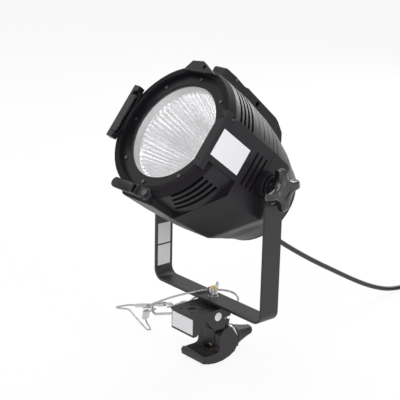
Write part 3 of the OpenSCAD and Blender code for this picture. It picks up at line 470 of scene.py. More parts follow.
def phosphor(name):
    """Light source: yellow phosphor gel with a pattern of dies under it."""
    f = Finish(name)
    dies = f.cells(260.0)
    f.feed("Base Color", f.blend((dies * 3.0).held(), (0.95, 0.72, 0.12, 1), (0.9, 0.8, 0.4, 1)))
    f.feed("Roughness", 0.35 + dies * 0.2)
    f.bump(dies, 0.3, 0.0003)
    return f.material


def board(name):
    """Circuit board: green mask over paler copper tracks, with small bright pads."""
    f = Finish(name, Specular_IOR_Level=0.5)
    track = f.cells(140.0, "DISTANCE_TO_EDGE")
    pad = f.cells(520.0)
    base = f.blend(track < 0.05, (0.02, 0.14, 0.06, 1), (0.05, 0.3, 0.14, 1))
    f.feed("Base Color", f.blend(pad < 0.1, base, (0.75, 0.7, 0.5, 1)))
    f.feed("Roughness", 0.35 + track * 0.4)
    f.bump(track, 0.2, 0.0003)
    return f.material


def window(name):
    """Dark window over a display: smoked and smooth, with faint smears."""
    f = Finish(name, Coat_Roughness=0.03)
    smear = f.noise(40.0, 3.0)
    f.feed("Base Color", f.blend(smear, (0.006, 0.008, 0.012, 1), (0.02, 0.024, 0.032, 1)))
    f.feed("Coat Weight", 0.7 + smear * 0.2)
    f.feed("Roughness", 0.08 + smear * 0.08)
    return f.material


# Settings that a user would change


def length_property(name, what, default, low, high):
    """Property that holds a length in metres."""
    return FloatProperty(name=name, description=what, default=default, min=low, max=high, unit="LENGTH")


class SpotlightSizes(bpy.types.PropertyGroup):
    """Sizes of the finished pieces, in metres."""

    flutes: IntProperty(name="Reflector flutes", description="Number of flutes round the reflector",
                        default=60, min=12, max=120)
    rope_diameter: length_property("Rope diameter", "Diameter of the safety rope", 0.0035, 0.003, 0.004)
    cord_diameter: length_property("Cord diameter", "Diameter of the mains cord", 0.009, 0.007, 0.009)
    edge: length_property("Casting edge", "Rounding of the castings' edges", 0.0009, 0.0, 0.002)
    lobe_depth: length_property("Knob scallop", "Radius of the knob's four scallops", 0.0238, 0.018, 0.028)


def colour_property(name, what, default):
    """Property that holds a colour."""
    return FloatVectorProperty(name=name, description="Colour of the " + what, default=default, size=3,
                               subtype="COLOR", min=0, max=1)


class SpotlightColours(bpy.types.PropertyGroup):
    """Colours of the finishes."""

    housing: colour_property("Housing", "coated castings", (0.0110, 0.0092, 0.0117))
    knobs: colour_property("Knobs", "knobs", (0.0075, 0.0066, 0.008))
    cord: colour_property("Cord", "mains cord", (0.013, 0.013, 0.014))
    labels: colour_property("Stickers", "blank stickers", (0.82, 0.82, 0.84))
    steel: colour_property("Steel", "plated steel", (0.6, 0.6, 0.62))
    floor: colour_property("Floor", "floor", (0.93, 0.93, 0.93))


FINISHES = {}


def make_finishes(colours):
    """Makes each finish once, from the colours in the panel."""
    body = tuple(colours.housing)
    steel = tuple(colours.steel)
    FINISHES.update({
        "casting": coat("cast_coat", body, 0.42, 1100.0, 0.22, 0.28),
        "rim": coat("matt_rim", body, 0.66, 1500.0, 0.16, 0.12),
        "strap": coat("strap_coat", body, 0.38, 1500.0, 0.14),
        "clamp": coat("clamp_coat", tone(body, 1.25), 0.46, 800.0, 0.3),
        # Painted shade: the lens ring's coat is the housing's colour made darker, standing in for the
        # shade on its front faces.
        "ring": coat("ring_coat_painted_shade", tone(body, 0.7), 0.4, 1700.0, 0.1, 0.2),
        "moulded": coat("moulded_plastic", (0.010, 0.009, 0.0105), 0.5, 1300.0, 0.18, 0.3),
        "grey": coat("grey_plastic", (0.1, 0.1, 0.105), 0.48, 1500.0, 0.12, 0.4),
        "white": coat("white_plastic", (0.75, 0.75, 0.73), 0.4, 1500.0, 0.1, 0.45),
        "knob": gloss("knob_gloss", tuple(colours.knobs)),
        "rubber": rubber("black_rubber", (0.016, 0.016, 0.016)),
        "steel": metal("zinc_steel", steel, 0.3),
        "screw": metal("screw_steel", tone(steel, 0.9), 0.26, scale=900.0),
        "dark_screw": metal("blackened_screw", (0.12, 0.12, 0.125), 0.48, scale=900.0),
        "thread": metal("threaded_steel", steel, 0.32, brush=(1.0, 6.0, 1.0)),
        "chrome": metal("chrome_plate", (0.78, 0.78, 0.8), 0.1, stain=0.1),
        "brass": metal("plain_brass", (0.78, 0.56, 0.24), 0.28, scale=700.0),
        "alloy": metal("bare_alloy", (0.72, 0.72, 0.74), 0.36, brush=(1.0, 1.0, 7.0)),
        "mirror": mirror("bright_reflector", (0.95, 0.95, 0.96)),
        "satin": metal("satin_collar", (0.72, 0.72, 0.73), 0.46, scale=800.0),
        "glass": glass("front_glass"),
        "phosphor": phosphor("led_phosphor"),
        "board": board("circuit_board"),
        "window": window("display_window"),
        "rope": rope_finish("steel_rope", (0.66, 0.66, 0.68)),
        "sheath": sheath("cord_sheath", tuple(colours.cord)),
        "label": sticker("blank_sticker", tuple(colours.labels)),
    })


# Routes, repeated from the part's source, in millimetres
CORD_ROUTE = [[0, 200, 130], [0, 270, 85], [0, 343, 43], [0, 410, 6], [0, 460, -18], [0, 505, -34],
              [0, 545, -41], [0, 575, -42.5], [0, 590, -42.5]]
ROPE_ROUTE = [[-172, 21.5, -9], [-160, 25, -5], [-148, 27, -3.5], [-140, 25, -1.5], [-138.5, 20, -0.8],
              [-140, 14.5, -2.5], [-149, 13.5, -7], [-159, 18, -12], [-163, 20, -25], [-155, 18, -33],
              [-145, 17, -38], [-141, 13, -39.5], [-146, 9, -38.5], [-168, 10, -32], [-188, 12, -26],
              [-208, 15, -23], [-232, 16, -29], [-247, 17, -33], [-252, 21, -34], [-247, 25, -32],
              [-225, 24, -22], [-203, 21, -13.5], [-188, 20, -9], [-154, 20, 2], [-141, 15, 9.5],
              [-115, 13, 24.5], [-78, 13, 45], [-45, 12.6, 61.5], [-30, 22, 67.4], [-26, 42, 67.4],
              [-16, 59, 67.4], [-3, 71, 67.4], [12, 76, 66.5], [27, 73, 64], [33, 67, 59.5],
              [24, 63.4, 57], [0, 63, 57], [-20, 60, 57], [-34, 48.5, 55.9], [-43, 36, 49.5],
              [-51, 23, 39.5], [-64, 18, 35], [-74, 12.5, 30], [-84, 11, 25], [-92, 14, 20.5],
              [-95.5, 20, 19], [-92, 26, 20.5], [-84, 29, 25], [-74, 27.5, 30], [-64, 23.5, 35],
              [-53, 28, 39]]
COIL_Y, COIL_R, COIL_TURNS = 590.0, 46.0, 2
PLUG_R = 18.0


def coil_route(diameter, per_turn=48):
    """Coil: in over one layer, up in the half turn where it reverses, and out over the next.

    The radius falls by a step for each turn and grows again, and the height eases between the layers.
    """
    def ease(t):
        t = np.clip(t, 0, 1)
        return t * t * (3 - 2 * t)

    step, rise = diameter + 2, diameter + 0.6
    low = FLOOR_Z + diameter / 2 - 0.5
    u = np.arange(1, 2 * COIL_TURNS * per_turn + 1) / per_turn
    w = np.where(u <= COIL_TURNS, u, 2 * COIL_TURNS - u)
    inward = np.where(w < 0.25, 2 * w * w, w - 0.125)
    r = COIL_R - step * inward
    z = (low + rise * ease((u - COIL_TURNS + 0.25) / 0.5)
         + (PLUG_R - diameter / 2 - rise) * ease((u - 2 * COIL_TURNS + 0.3) / 0.3))
    turn = 2 * np.pi * u
    coil = np.stack([COIL_R - r * np.cos(turn), COIL_Y + r * np.sin(turn), z], -1)
    return np.concatenate([coil, coil[-1:] + [0, 2 * diameter, 0]])


class Piece(bpy.types.Operator):
    """Common part of the operators that make pieces."""

    bl_options = {"REGISTER", "UNDO"}

    def execute(self, context):
        self.make(context.scene.spotlight_sizes)
        return {"FINISHED"}


class SPOTLIGHT_OT_cords(Piece):
    """Makes the mains cord with its coil and plug, and the safety rope with its fittings"""

    bl_idname = "spotlight.cords"
    bl_label = "Cords"

    def make(self, sizes):
        diameter = sizes.cord_diameter
        start = [lamp([0, GLAND_V, REAR_A - GLAND_L - k]) * 1000 for k in (0, 12)]
        free = through(np.concatenate([start, CORD_ROUTE]), 6)
        path = row(np.concatenate([free, coil_route(diameter * 1000)]))
        points, faces, uv = tube(path, diameter / 2, 20)
        cord = piece("mains_cord", points, faces, None, FINISHES["sheath"],
                     ("power_cord", "cord_coil"), 60, uv)
        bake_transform(cord)
        plug = dressed("mains_plug", "yoke", FINISHES["moulded"], 0.8)

        # Strain relief over the first 30 mm: it tapers, and its ribs have flat tops.
        def sleeve_radius(angle, along):
            ribs = 0.00045 * np.cos(along * 2 * np.pi / 0.0045).clip(-0.4, 0.4)
            return diameter / 2 + 0.0032 - along * 0.085 + ribs + 0 * angle

        step = np.linspace(0, 0.03, 61)
        near = np.stack([np.interp(step, run_along(path), path[:, k]) for k in range(3)], 1)
        points, faces, _ = tube(near, sleeve_radius, 32)
        sleeve = piece("strain_relief", points, faces, None, FINISHES["rubber"], (), 50)
        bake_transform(sleeve)

        thick = sizes.rope_diameter
        line = row(through(ROPE_ROUTE, 1.3))

        # Six strands that wind once round the rope in every 20 mm.
        def strands(angle, along):
            return thick / 2 * (0.9 + 0.1 * np.abs(np.cos(3 * (angle - along * 314.0))))

        points, faces, uv = tube(line, strands, 24)
        rope = piece("wire_rope", points, faces, "yoke", FINISHES["rope"],
                     ("safety_rope",), 70, uv)
        fittings = [dressed("rope_ferrules", "yoke", FINISHES["steel"], 0.7),
                    dressed("quick_link", "yoke", FINISHES["steel"], 0.3)]
        dressed("link_sleeve", "link_sleeve", FINISHES["screw"], 0.5)


# Stations of the housing: place, radius of the barrel, half width of the flat sides, their low and
# high edge, and the depth of the flat bottom.
STATIONS = np.array([
    [JOINT_A, 81, 74, -23, 21, 66], [-75, 96, 96, -33, 31, 89], [-30, 107, 118, -50, 49, 110],
    [0, 112, 118, -53, 51, 114], [60, 117, 118, -53, 51, 119.5], [115, 117, 118, -53, 51, 122],
    [120, 116, 118, -53, 51, 122], [FRONT_A, 113.5, 118, -45, 43, 112]])
SIDE_X = 118.0
BOTTOM_HALF = 35.0
# Forward of BARE_A the corners between two fold angles are cut away. The matt rim starts at RIM_A.
BARE_A, BARE_FROM, BARE_TO = 62.0, 15.0, 74.0
RIM_A = 115.0
# Slots: low edge, width, and the fold angles where they start and end. Side vents: their middles.
UPPER_VENTS = [(98 - 10.5 * i, 5.0, 23.0, 74.0) for i in range(4)]
LOWER_VENTS = [(110 - 11.5 * i, 5.5, 27.0, 58.0 + 3 * i) for i in range(4)]
GROOVES = [(46.5 - 15.5 * i, 1.6, 30.0, 60.0) for i in range(5)]
SIDE_VENTS, SIDE_VENT_HALF = [24, 36, 48], 2
SEAM_A, SEAM_HALF = 15, 0.5


def housing_radius(a, turn):
    """Radius of the housing's skin at each place a and angle turn, about the barrel's middle.

    It is the larger of the barrel's radius and of the reach of a polygon with a flat top, sides, low
    slopes and bottom. The polygon's reach is the soft least of distance / cosine over its flats, so
    its corners are rounded. Forward of BARE_A only the barrel is left between sides and bottom.
    """
    r, side, low, high, bottom = [np.interp(a, STATIONS[:, 0], STATIONS[:, k])[:, None]
                                  for k in range(1, 6)]
    c, s = np.abs(np.cos(turn))[None, :], np.sin(turn)[None, :]
    slope = np.stack([bottom + low, BOTTOM_HALF - side])
    slope = slope / np.hypot(*slope)
    flats = ((0, 1, high - AXIS_V), (1, 0, side), (0, -1, bottom + AXIS_V),
             (slope[0], slope[1], slope[0] * side + slope[1] * (low - AXIS_V)))
    soft, far, least, middle = 1.1, 400, 0.05, 100
    total = 0
    for nx, nv, distance in flats:
        cosine = nx * c + nv * s
        reach = np.where(cosine > least, distance / np.maximum(cosine, least), far)
        total = total + np.exp(-soft * (np.minimum(reach, far) - middle))
    polygon = middle - np.log(total) / soft
    fold = np.degrees(np.arctan2(-s, c))
    bare = (a[:, None] > BARE_A) & (fold > BARE_FROM) & (fold < BARE_TO)
    return np.where(bare, r, np.maximum(r, polygon))


def recess(a, turn):
    """Depth of the vents in the skin: curved slots above and below, fine grooves, and side vents.

    A place's fold angle is its angle above or below the level of the axis.
    """
    x, v = np.cos(turn)[None, :], np.sin(turn)[None, :]
    fold = np.degrees(np.arctan2(np.abs(v), np.abs(x)))
    a = a[:, None]
    depth = np.zeros((len(a), fold.shape[1]))
    for slots, way, deep in ((UPPER_VENTS, 1, 9.0), (LOWER_VENTS, -1, 9.0), (GROOVES, 1, 1.8)):
        for low, width, start, end in slots:
            inside = (a > low) & (a < low + width) & (fold > start) & (fold < end) & (way * v > 0)
            depth = np.where(inside, deep, depth)
    height = SIDE_X * v / np.maximum(np.abs(x), 0.2) + AXIS_V
    side = np.abs(x) > 0.9
    for middle in SIDE_VENTS:
        inside = (np.abs(a - middle) < SIDE_VENT_HALF) & (height > -25) & (height < 32) & side
        depth = np.where(inside, 3.8, depth)
    seam = (np.abs(a - SEAM_A) < SEAM_HALF) & (height > 20) & (height < 52) & side
    return np.where(seam, 0.8, depth)


def with_edges(lines, edges, half):
    """Grid lines with a close pair of lines at each edge, so that a slot's wall stands nearly square."""
    edges = np.asarray(edges, float)
    lines = lines[np.abs(lines[:, None] - edges[None, :]).min(1) > 3 * half]
    return np.unique(np.concatenate([lines, edges - half, edges + half]))


class SPOTLIGHT_OT_housing(Piece):
    """Makes the main housing: one skin with its vents, the seat of the lens, and the top ridge"""

    bl_idname = "spotlight.housing"
    bl_label = "Housing"

    def make(self, sizes):
        # Rows lie 5 mm apart, with close pairs at the edges of the slots.
        slots = UPPER_VENTS + LOWER_VENTS + GROOVES
        edges = [e for low, width, _, _ in slots for e in (low, low + width)]
        edges += [e for m in SIDE_VENTS for e in (m - SIDE_VENT_HALF, m + SIDE_VENT_HALF)]
        edges += [SEAM_A - SEAM_HALF, SEAM_A + SEAM_HALF, BARE_A]
        a = with_edges(np.arange(JOINT_A, FRONT_A + 0.1, 5.0), sorted(set(edges)), 0.15)
        fixed = [JOINT_A, JOINT_A + 1.2, RIM_A, 120, FRONT_A - 1.0, FRONT_A]
        a = np.unique(np.clip(np.concatenate([a, fixed]), JOINT_A, FRONT_A))

        # Columns lie 2.5 degrees apart, with more of them at the rounded corners.
        def lift(height, half):
            return math.degrees(math.atan2(height, half))

        ends = [e for _, _, start, end in slots for e in (start, end)]
        ends += [BARE_FROM, BARE_TO] + [lift(h, SIDE_X) for h in (28, 29)]
        corner = np.array([lift(h, SIDE_X) for h in (46.8, 48, 49.2, 55, 56, 57)]
                          + [lift(h, BOTTOM_HALF) for h in (117, 123, 126)])
        fold = np.unique(np.round(ends, 2))
        turns, extra = [np.concatenate([q, 180 - q, 180 + q, 360 - q]) for q in (fold, corner)]
        lines = np.unique(np.concatenate([np.arange(0, 360, 2.5), np.round(extra, 2)]))
        turn = np.radians(with_edges(lines, turns, 0.16) % 360)
        skin = housing_radius(a, turn)
        skin[0] -= 1.0
        skin[-1] -= 1.0
        outer = skin - recess(a, turn)
        # Inside: front face, seat of the ring, seat of the glass, hollow, and the rear edge.
        ledge = SEAT_A - GLASS_T - 1
        inner = [(RECESS_R + 0.7, FRONT_A), (RECESS_R, FRONT_A - 0.7), (RECESS_R, SEAT_A),
                 (GLASS_R + 0.5, SEAT_A), (GLASS_R + 0.5, ledge), (BORE_R, ledge), (BORE_R, 110),
                 (100, 103), (100, 0), (96, -30), (86, -75), (75, -109), (75, JOINT_A)]
        radius = np.concatenate([outer, np.array([[r] for r, _ in inner]) + 0 * outer[:1]])
        place = np.concatenate([a, [z for _, z in inner]])[:, None] + 0 * radius
        skin = piece("housing_skin", about_axis(radius, turn, place),
                     grid_faces(*radius.shape, wrap_rows=True), "head",
                     FINISHES["casting"], ("main_housing",), 32)
        self.rim(skin)

        # Top ridge in two blocks, of which the rear one has the hole for a safety bond.
        front = [(97, 95), (102.6, 126), (103, 134.3), (99.8, 137.6), (74, 137.6), (50, 135.2),
                 (43, 135.2), (43, 95)]
        rear = [(42.5, 95), (42.5, 134.8), (39.6, 136.8), (-51, 131.3), (-60, 128.8), (-80.3, 118.8),
                (-86.8, 110.8), (-95.5, 97.5), (-98, 84), (-60, 78)]
        angle = np.linspace(0, 2 * np.pi, 32, endpoint=False)
        hole = np.stack([3 + 4 * np.cos(angle), 126.5 + 4 * np.sin(angle)], 1)
        for name, (points, faces) in (("ridge_front", prism(front, 14)),
                                      ("ridge_rear", pierced(rear, hole, 13.9))):
            obj = piece(name, points, faces, "head", FINISHES["casting"], (), 30)
            bevel(obj, 1.3, 3)

    @staticmethod
    def rim(skin):
        """Gives the front band of the barrel, but not its flat sides, the matt finish."""
        skin.data.materials.append(FINISHES["rim"])
        middle = np.zeros(len(skin.data.polygons) * 3)
        skin.data.polygons.foreach_get("center", middle)
        x, y, z = middle.reshape(-1, 3).T * 1000
        y, z = y - PIVOT_Y, z - PIVOT_Z
        a = z * math.sin(TILT) - y * math.cos(TILT)
        v = z * math.cos(TILT) + y * math.sin(TILT) - AXIS_V
        lift = np.degrees(np.arctan2(v, np.abs(x)))
        side = (lift > -BARE_FROM) & (lift < 24.0)
        band = (a > RIM_A) & (np.hypot(x, v) > RECESS_R + 0.2) & ~side
        skin.data.polygons.foreach_set("material_index", band.astype(np.int32))


class SPOTLIGHT_OT_castings(Piece):
    """Gives the castings of head, yoke and clamp their rounded edges and coats"""

    bl_idname = "spotlight.castings"
    bl_label = "Castings"

    def make(self, sizes):
        edge = sizes.edge * 1000
        for node, body, coat_name, share in (
                ("rear_shell", "head", "casting", 0.7), ("lens_ring", "head", "ring", 0.5),
                ("rail_right", "head", "casting", 1.0), ("rail_left", "head", "casting", 1.0),
                ("top_lug", "head", "casting", 1.1), ("frame_latch", "frame_latch", "casting", 0.9),
                ("pivot_boss_right", "head", "casting", 1.0),
                ("pivot_boss_left", "head", "casting", 1.0), ("saddle", "clamp", "clamp", 0.9),
                ("hook", "clamp", "clamp", 1.3), ("jaw", "clamp_jaw", "clamp", 0.8)):
            dressed(node, body, FINISHES[coat_name], edge * share)
        dressed("yoke", "yoke", FINISHES["strap"], edge * 0.8)


class SPOTLIGHT_OT_fasteners(Piece):
    """Finishes the screws, washers, bolt, wing nut, gland and small fittings"""

    bl_idname = "spotlight.fasteners"
    bl_label = "Fasteners and fittings"

    def make(self, sizes):
        for node, body, slot, name, edge in (
                ("ring_screws", "head", "steel", "dark_screw", 0.4),
                ("housing_screws", "head", "steel", "dark_screw", 0.3),
                ("latch_screws", "head", "steel", "dark_screw", 0.5),
                ("saddle_screws", "clamp", "steel", "screw", 0.4),
                ("heatsink_screws", "head", "steel", "screw", 0.4),
                ("leg_washers", "yoke", "steel", "steel", 0.2),
                ("bolt_washer", "yoke", "steel", "steel", 0.3),
                ("wing_nut", "wing_nut", "steel", "steel", 0.8),
                ("yoke_bolt", "clamp", "brass", "brass", 0.6),
                ("jaw_tip", "clamp_jaw", "brass", "brass", 0.5),
                ("lead_screw", "clamp_handle", "steel", "thread", 0.4),
                ("handle_collar", "clamp_handle", "chrome", "chrome", 0.8),
                ("cord_gland", "head", "black_plastic", "moulded", 0.3),
                ("data_in", "head", "steel", "steel", 0.4),
                ("data_out", "head", "black_plastic", "moulded", 0.4)):
            dressed(node, body, FINISHES[name], edge)


def knob_reach(turn, scallop):
    """Reach of the knob's rim: a disc with four round scallops, rounded where they meet it.

    Along an angle t from a scallop's middle, whose distance is d, the scallop's near side lies at
    d cos t - root(scallop squared - d squared sin squared t). The rim is the soft least of both.
    """
    d, disc, far, soft = 43.4, 35.0, 60.0, 0.5
    delta = np.abs(turn % (np.pi / 2) - np.pi / 4)
    inside = np.clip(scallop**2 - (d * np.sin(delta))**2, 0, None)
    near = np.where(inside > 0, d * np.cos(delta) - np.sqrt(inside), far)
    return -np.log(np.exp(-soft * near) + np.exp(-soft * disc)) / soft


def cone_grip():
    """Cone grip in the row frame: a turned profile of (radius, height) with twelve shallow flutes.

    The flutes take 0.035 held (1 + cos 12 t) / 2 of the radius, and held eases them in and out.
    """
    profile = [(0, 0), (20, 0), (20.9, 0.6), (21.3, 3), (20.2, 6), (18.6, 8.3), (16.8, 14), (14.6, 21),
               (12.1, 30), (9.8, 40), (8.9, 45), (7.4, 47.3), (5, 48), (0, 48)]
    r, h = np.array(profile, float).T[:, :, None]
    t = np.linspace(0, 2 * np.pi, 120, endpoint=False)
    held = np.interp(h, [8, 14, 40, 46], [0, 1, 1, 0])
    flute = 1 - 0.035 * held * (0.5 + 0.5 * np.cos(12 * t))
    return np.stack([r * np.cos(t) * flute, h + 0 * t + GRIP_Y, r * np.sin(t) * flute + SCREW_Z], -1)


class SPOTLIGHT_OT_knobs(Piece):
    """Makes the two four-lobed locking knobs and the clamp's cone grip"""

    bl_idname = "spotlight.knobs"
    bl_label = "Knobs and grip"

    def make(self, sizes):
        turn = np.linspace(0, 2 * np.pi, 144, endpoint=False)
        rim = knob_reach(turn, sizes.lobe_depth * 1000)
        # Rows of the knob: share of the lobed rim, plain radius for the rest, and height.
        rows = [(0, 4.0, -16), (0, 4.0, 0), (0, 13.0, 0), (0, 14.0, 0.8), (0, 15.0, 6), (0.93, 0, 6.8),
                (0.975, 0, 7.8), (1.0, 0, 10.5), (1.0, 0, 16.5), (0.985, 0, 19), (0.945, 0, 21),
                (0.87, 0, 22.2), (0.72, 0, 22.7), (0.5, 0, 22.6), (0, 13.5, 22.4), (0, 12.5, 21.6),
                (0, 8.0, 21.4), (0, 0.0, 21.3)]
        share, plain, height = np.array(rows, float).T[:, :, None]
        r = share * rim + plain
        local = np.stack([r * np.cos(turn), r * np.sin(turn), height + 0 * r], -1)
        tip = np.array([[[0, 0, -16.0]]]) + 0 * local[:1]
        local = np.concatenate([tip, local])
        # The lobes stand turned by 9 degrees.
        spin = math.radians(9)
        x = local[..., 0] * math.cos(spin) - local[..., 1] * math.sin(spin)
        y = local[..., 0] * math.sin(spin) + local[..., 1] * math.cos(spin)
        faces = grid_faces(len(local), len(turn))
        for name, s in (("knob_right", 1), ("knob_left", -1)):
            points = np.stack([s * (local[..., 2] + KNOB_X), y + PIVOT_Y, PIVOT_Z - s * x], -1)
            piece(name + "_lobed", row(points), faces, name, FINISHES["knob"], (name,), 40)

        points = cone_grip()
        piece("cone_grip", row(points), grid_faces(*points.shape[:2]), "clamp_handle",
              FINISHES["moulded"], ("handle_grip",), 40)


def reflector_wall(flutes):
    """Radii and places of the reflector: its fluted inside, then a plain outside back to the throat.

    The inside's radius is 24 + 58.4 s ** 0.6 for s from 0 at the throat to 1 at the mouth. Each flute is
    a flat, so it dips by 0.032 (1 - u squared) of that, for u from 0 at its middle to 1 at its ridges.
    """
    throat, mouth = 4, 104
    turn = np.linspace(0, 2 * np.pi, flutes * 4, endpoint=False)
    a = np.linspace(throat, mouth, 40)
    r = 24 + 58.4 * ((a - throat) / (mouth - throat)) ** 0.6
    across = np.abs((turn * flutes / (2 * np.pi)) % 1 - 0.5) * 2
    fade = np.clip((a - 6) / 10, 0, 1)[:, None] * np.clip((105 - a) / 3, 0, 1)[:, None]
    cup = r[:, None] * (1 - 0.032 * fade * (1 - across**2))
    rest = np.array([(82.7, 104.5)] + [(rr + 1.2, aa) for rr, aa in zip(r[::-4], a[::-4])]
                    + [(25.2, throat)])
    radius = np.concatenate([cup, rest[:, :1] + 0 * cup[:1]])
    place = np.concatenate([a, rest[:, 1]])[:, None] + 0 * radius
    return about_axis(radius, turn, place)


def lamp_disc(profile):
    """A profile of (radius, place) turned round the lamp's axis."""
    r, a = np.asarray(profile, float).T
    t = np.linspace(0, 2 * np.pi, 128, endpoint=False)
    return about_axis(r[:, None], t, a[:, None] + 0 * t)


class SPOTLIGHT_OT_optics(Piece):
    """Makes the fluted reflector with its collar, and the glass"""

    bl_idname = "spotlight.optics"
    bl_label = "Optics"

    def make(self, sizes):
        wall = reflector_wall(sizes.flutes)
        piece("fluted_reflector", wall, grid_faces(*wall.shape[:2], wrap_rows=True), "head",
              FINISHES["mirror"], ("reflector",), 12)

        # Plain collar between the flutes and the glass.
        collar = [(82.3, 104.2), (82.6, 105.2), (83.4, 117.7), (83.7, 118.2), (84.1, 117.8), (84.0, 104.4),
                  (83.4, 103.8)]
        band = lamp_disc(collar)
        piece("reflector_collar", band, grid_faces(*band.shape[:2], wrap_rows=True), "head",
              FINISHES["satin"], (), 30)

        low, high, r = SEAT_A - GLASS_T, SEAT_A - 0.1, GLASS_R
        rim = [(0, low), (r - 1.1, low), (r - 0.3, low + 0.3), (r, low + 0.7), (r, high - 0.6),
               (r - 0.4, high - 0.1), (r - 1.1, high), (0, high)]
        disc = lamp_disc(rim)
        piece("front_glass", disc, grid_faces(*disc.shape[:2]), "head",
              FINISHES["glass"], ("lens_glass",), 30)


class SPOTLIGHT_OT_finishes(Piece):
    """Gives the CAD pieces that stay as they are their finishes"""

    bl_idname = "spotlight.finishes"
    bl_label = "Finishes of the other pieces"

    def make(self, sizes):
        looks = {
            "rubber": ("pad", "friction_pad_right", "friction_pad_left", "lens_gasket"),
            "label": ("saddle_label", "saddle_sticker", "yoke_label", "side_label"),
            "phosphor": ("cob_led",), "white": ("cob_holder",), "alloy": ("heat_sink",),
            "moulded": ("fan_frame", "fan_rotor"), "board": ("power_supply", "control_board"),
            "window": ("display_window",), "grey": ("button_1", "button_2", "button_3", "button_4")}
        for name, nodes in looks.items():
            for node in nodes:
                mesh = NODES[node].data
                mesh.materials.clear()
                mesh.materials.append(FINISHES[name])


def matrix(axes, place):
    """Matrix of an object at a place, with its three axes as the columns of axes."""
    return Matrix([[*t, p] for t, p in zip(axes, place)] + [[0, 0, 0, 1]])


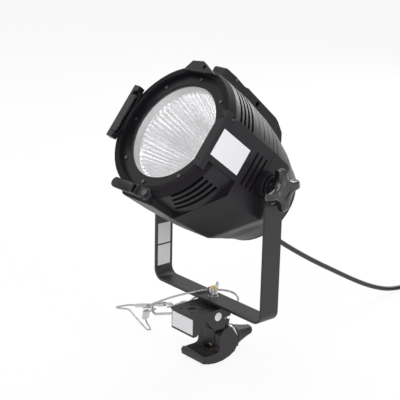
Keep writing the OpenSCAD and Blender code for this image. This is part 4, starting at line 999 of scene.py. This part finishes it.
class SPOTLIGHT_OT_stage(bpy.types.Operator):
    """Sets the camera at the photograph's angle, the floor, the world and the lights"""

    bl_idname = "spotlight.stage"
    bl_label = "Stage"
    bl_options = {"REGISTER", "UNDO"}

    def execute(self, context):
        """Lays out the stage. A light's row: its name, place, size in metres and power in watts."""
        scene = context.scene
        scene.view_settings.view_transform = "Standard"
        self.camera(scene)
        self.floor(scene, tuple(scene.spotlight_colours.floor))
        self.world(scene)
        for name, place, size, power in (
                ("key", (1.2, -2.2, 2.2), 1.4, 34), ("fill", (2.6, 0.2, 1.1), 1.4, 22),
                ("back", (-0.6, 2.4, 1.3), 1.6, 34), ("top", (-0.9, 0.3, 2.8), 1.6, 26),
                ("side", (-2.2, -0.6, 1.39), 0.6, 5)):
            data = bpy.data.lights.new(name, "AREA")
            data.shape = "SQUARE"
            data.size = size
            data.energy = power
            light = bpy.data.objects.new(name, data)
            light.matrix_world = self.facing(place, np.array([0, 0, 0.25]) - place)
            scene.collection.objects.link(light)
        return {"FINISHED"}

    @staticmethod
    def facing(place, way):
        """Matrix of a light at a place that shines along way, kept level."""
        f = way / np.linalg.norm(way)
        r = np.cross(f, [0, 0, 1.0])
        r /= np.linalg.norm(r)
        u = np.cross(r, f)
        return matrix(np.stack([r, u, -f], 1), place)

    @staticmethod
    def camera(scene):
        """Camera on the photograph's place, turn, roll and field of view."""
        data = bpy.data.cameras.new("camera")
        data.sensor_width = 36.0
        data.lens = 103.5
        data.clip_start, data.clip_end = 0.05, 60.0
        cam = bpy.data.objects.new("camera", data)
        right, up = np.array([0.6494, 0.7602, 0.0216]), np.array([-0.2408, 0.1785, 0.9540])
        right /= np.linalg.norm(right)
        up -= up.dot(right) * right
        up /= np.linalg.norm(up)
        cam.matrix_world = matrix(np.stack([right, up, np.cross(right, up)], 1), (1.3774, -1.1878, 0.8165))
        scene.collection.objects.link(cam)
        scene.camera = cam

    @staticmethod
    def floor(scene, colour):
        """Pale floor that keeps the object's soft shadow and otherwise meets the white background."""
        half, below = 9.0, 0.0006
        corners = ((-half, -half), (half, -half), (half, half), (-half, half))
        mesh = bpy.data.meshes.new("floor")
        mesh.from_pydata([(x, y, FLOOR_Z / 1000 - below) for x, y in corners], [], [[0, 1, 2, 3]])
        obj = bpy.data.objects.new("floor", mesh)
        scene.collection.objects.link(obj)
        mat = bpy.data.materials.new("pale_floor")
        mat.use_nodes = True
        tree = mat.node_tree
        tree.nodes.clear()
        out, mix, diffuse, glow, path = [tree.nodes.new("ShaderNode" + kind) for kind in (
            "OutputMaterial", "MixShader", "BsdfDiffuse", "Emission", "LightPath")]
        diffuse.inputs["Color"].default_value = (*colour, 1)
        share = (Value(tree, path.outputs["Is Camera Ray"]) * 0.9
                 + Value(tree, path.outputs["Is Glossy Ray"]) * 0.5)
        for place, socket in enumerate((share.socket, diffuse.outputs[0], glow.outputs[0])):
            tree.links.new(socket, mix.inputs[place])
        tree.links.new(mix.outputs[0], out.inputs[0])
        mesh.materials.append(mat)

    @staticmethod
    def world(scene):
        """Plain light from all round, white where the camera or a mirror sees it."""
        world = bpy.data.worlds.new("studio")
        world.use_nodes = True
        tree = world.node_tree
        back = tree.nodes["Background"]
        back.inputs["Color"].default_value = (1, 1, 1, 1)
        path = tree.nodes.new("ShaderNodeLightPath")
        seen, mirrored, through_glass = [Value(tree, path.outputs[f"Is {kind} Ray"])
                                         for kind in ("Camera", "Glossy", "Transmission")]
        strength = 0.36 + (seen + through_glass).held() * 0.64 + mirrored * 0.3
        tree.links.new(strength.socket, back.inputs["Strength"])
        scene.world = world


class SPOTLIGHT_PT_panel(bpy.types.Panel):
    """Lists the operators, sizes and colours of the spotlight"""

    bl_idname = "SPOTLIGHT_PT_panel"
    bl_label = "Spotlight"
    bl_space_type = "VIEW_3D"
    bl_region_type = "UI"
    bl_category = "Spotlight"

    def draw(self, context):
        for group in (context.scene.spotlight_sizes, context.scene.spotlight_colours):
            box = self.layout.box()
            for key in group.__annotations__:
                box.prop(group, key)
        for operator in OPERATORS:
            self.layout.operator(operator.bl_idname)


OPERATORS = (SPOTLIGHT_OT_stage, SPOTLIGHT_OT_cords, SPOTLIGHT_OT_housing, SPOTLIGHT_OT_castings,
             SPOTLIGHT_OT_optics, SPOTLIGHT_OT_knobs, SPOTLIGHT_OT_fasteners, SPOTLIGHT_OT_finishes)
CLASSES = (SpotlightSizes, SpotlightColours, *OPERATORS, SPOTLIGHT_PT_panel)


def register():
    for cls in CLASSES:
        bpy.utils.register_class(cls)
    bpy.types.Scene.spotlight_sizes = PointerProperty(type=SpotlightSizes)
    bpy.types.Scene.spotlight_colours = PointerProperty(type=SpotlightColours)


def unregister():
    del bpy.types.Scene.spotlight_colours
    del bpy.types.Scene.spotlight_sizes
    for cls in reversed(CLASSES):
        bpy.utils.unregister_class(cls)


def main():
    """Registers the add-on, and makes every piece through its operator."""
    register()
    make_finishes(bpy.context.scene.spotlight_colours)
    bpy.ops.spotlight.stage()
    bpy.ops.spotlight.cords()
    bpy.ops.spotlight.housing()
    bpy.ops.spotlight.castings()
    bpy.ops.spotlight.optics()
    bpy.ops.spotlight.knobs()
    bpy.ops.spotlight.fasteners()
    bpy.ops.spotlight.finishes()


if __name__ == "__main__":
    main()
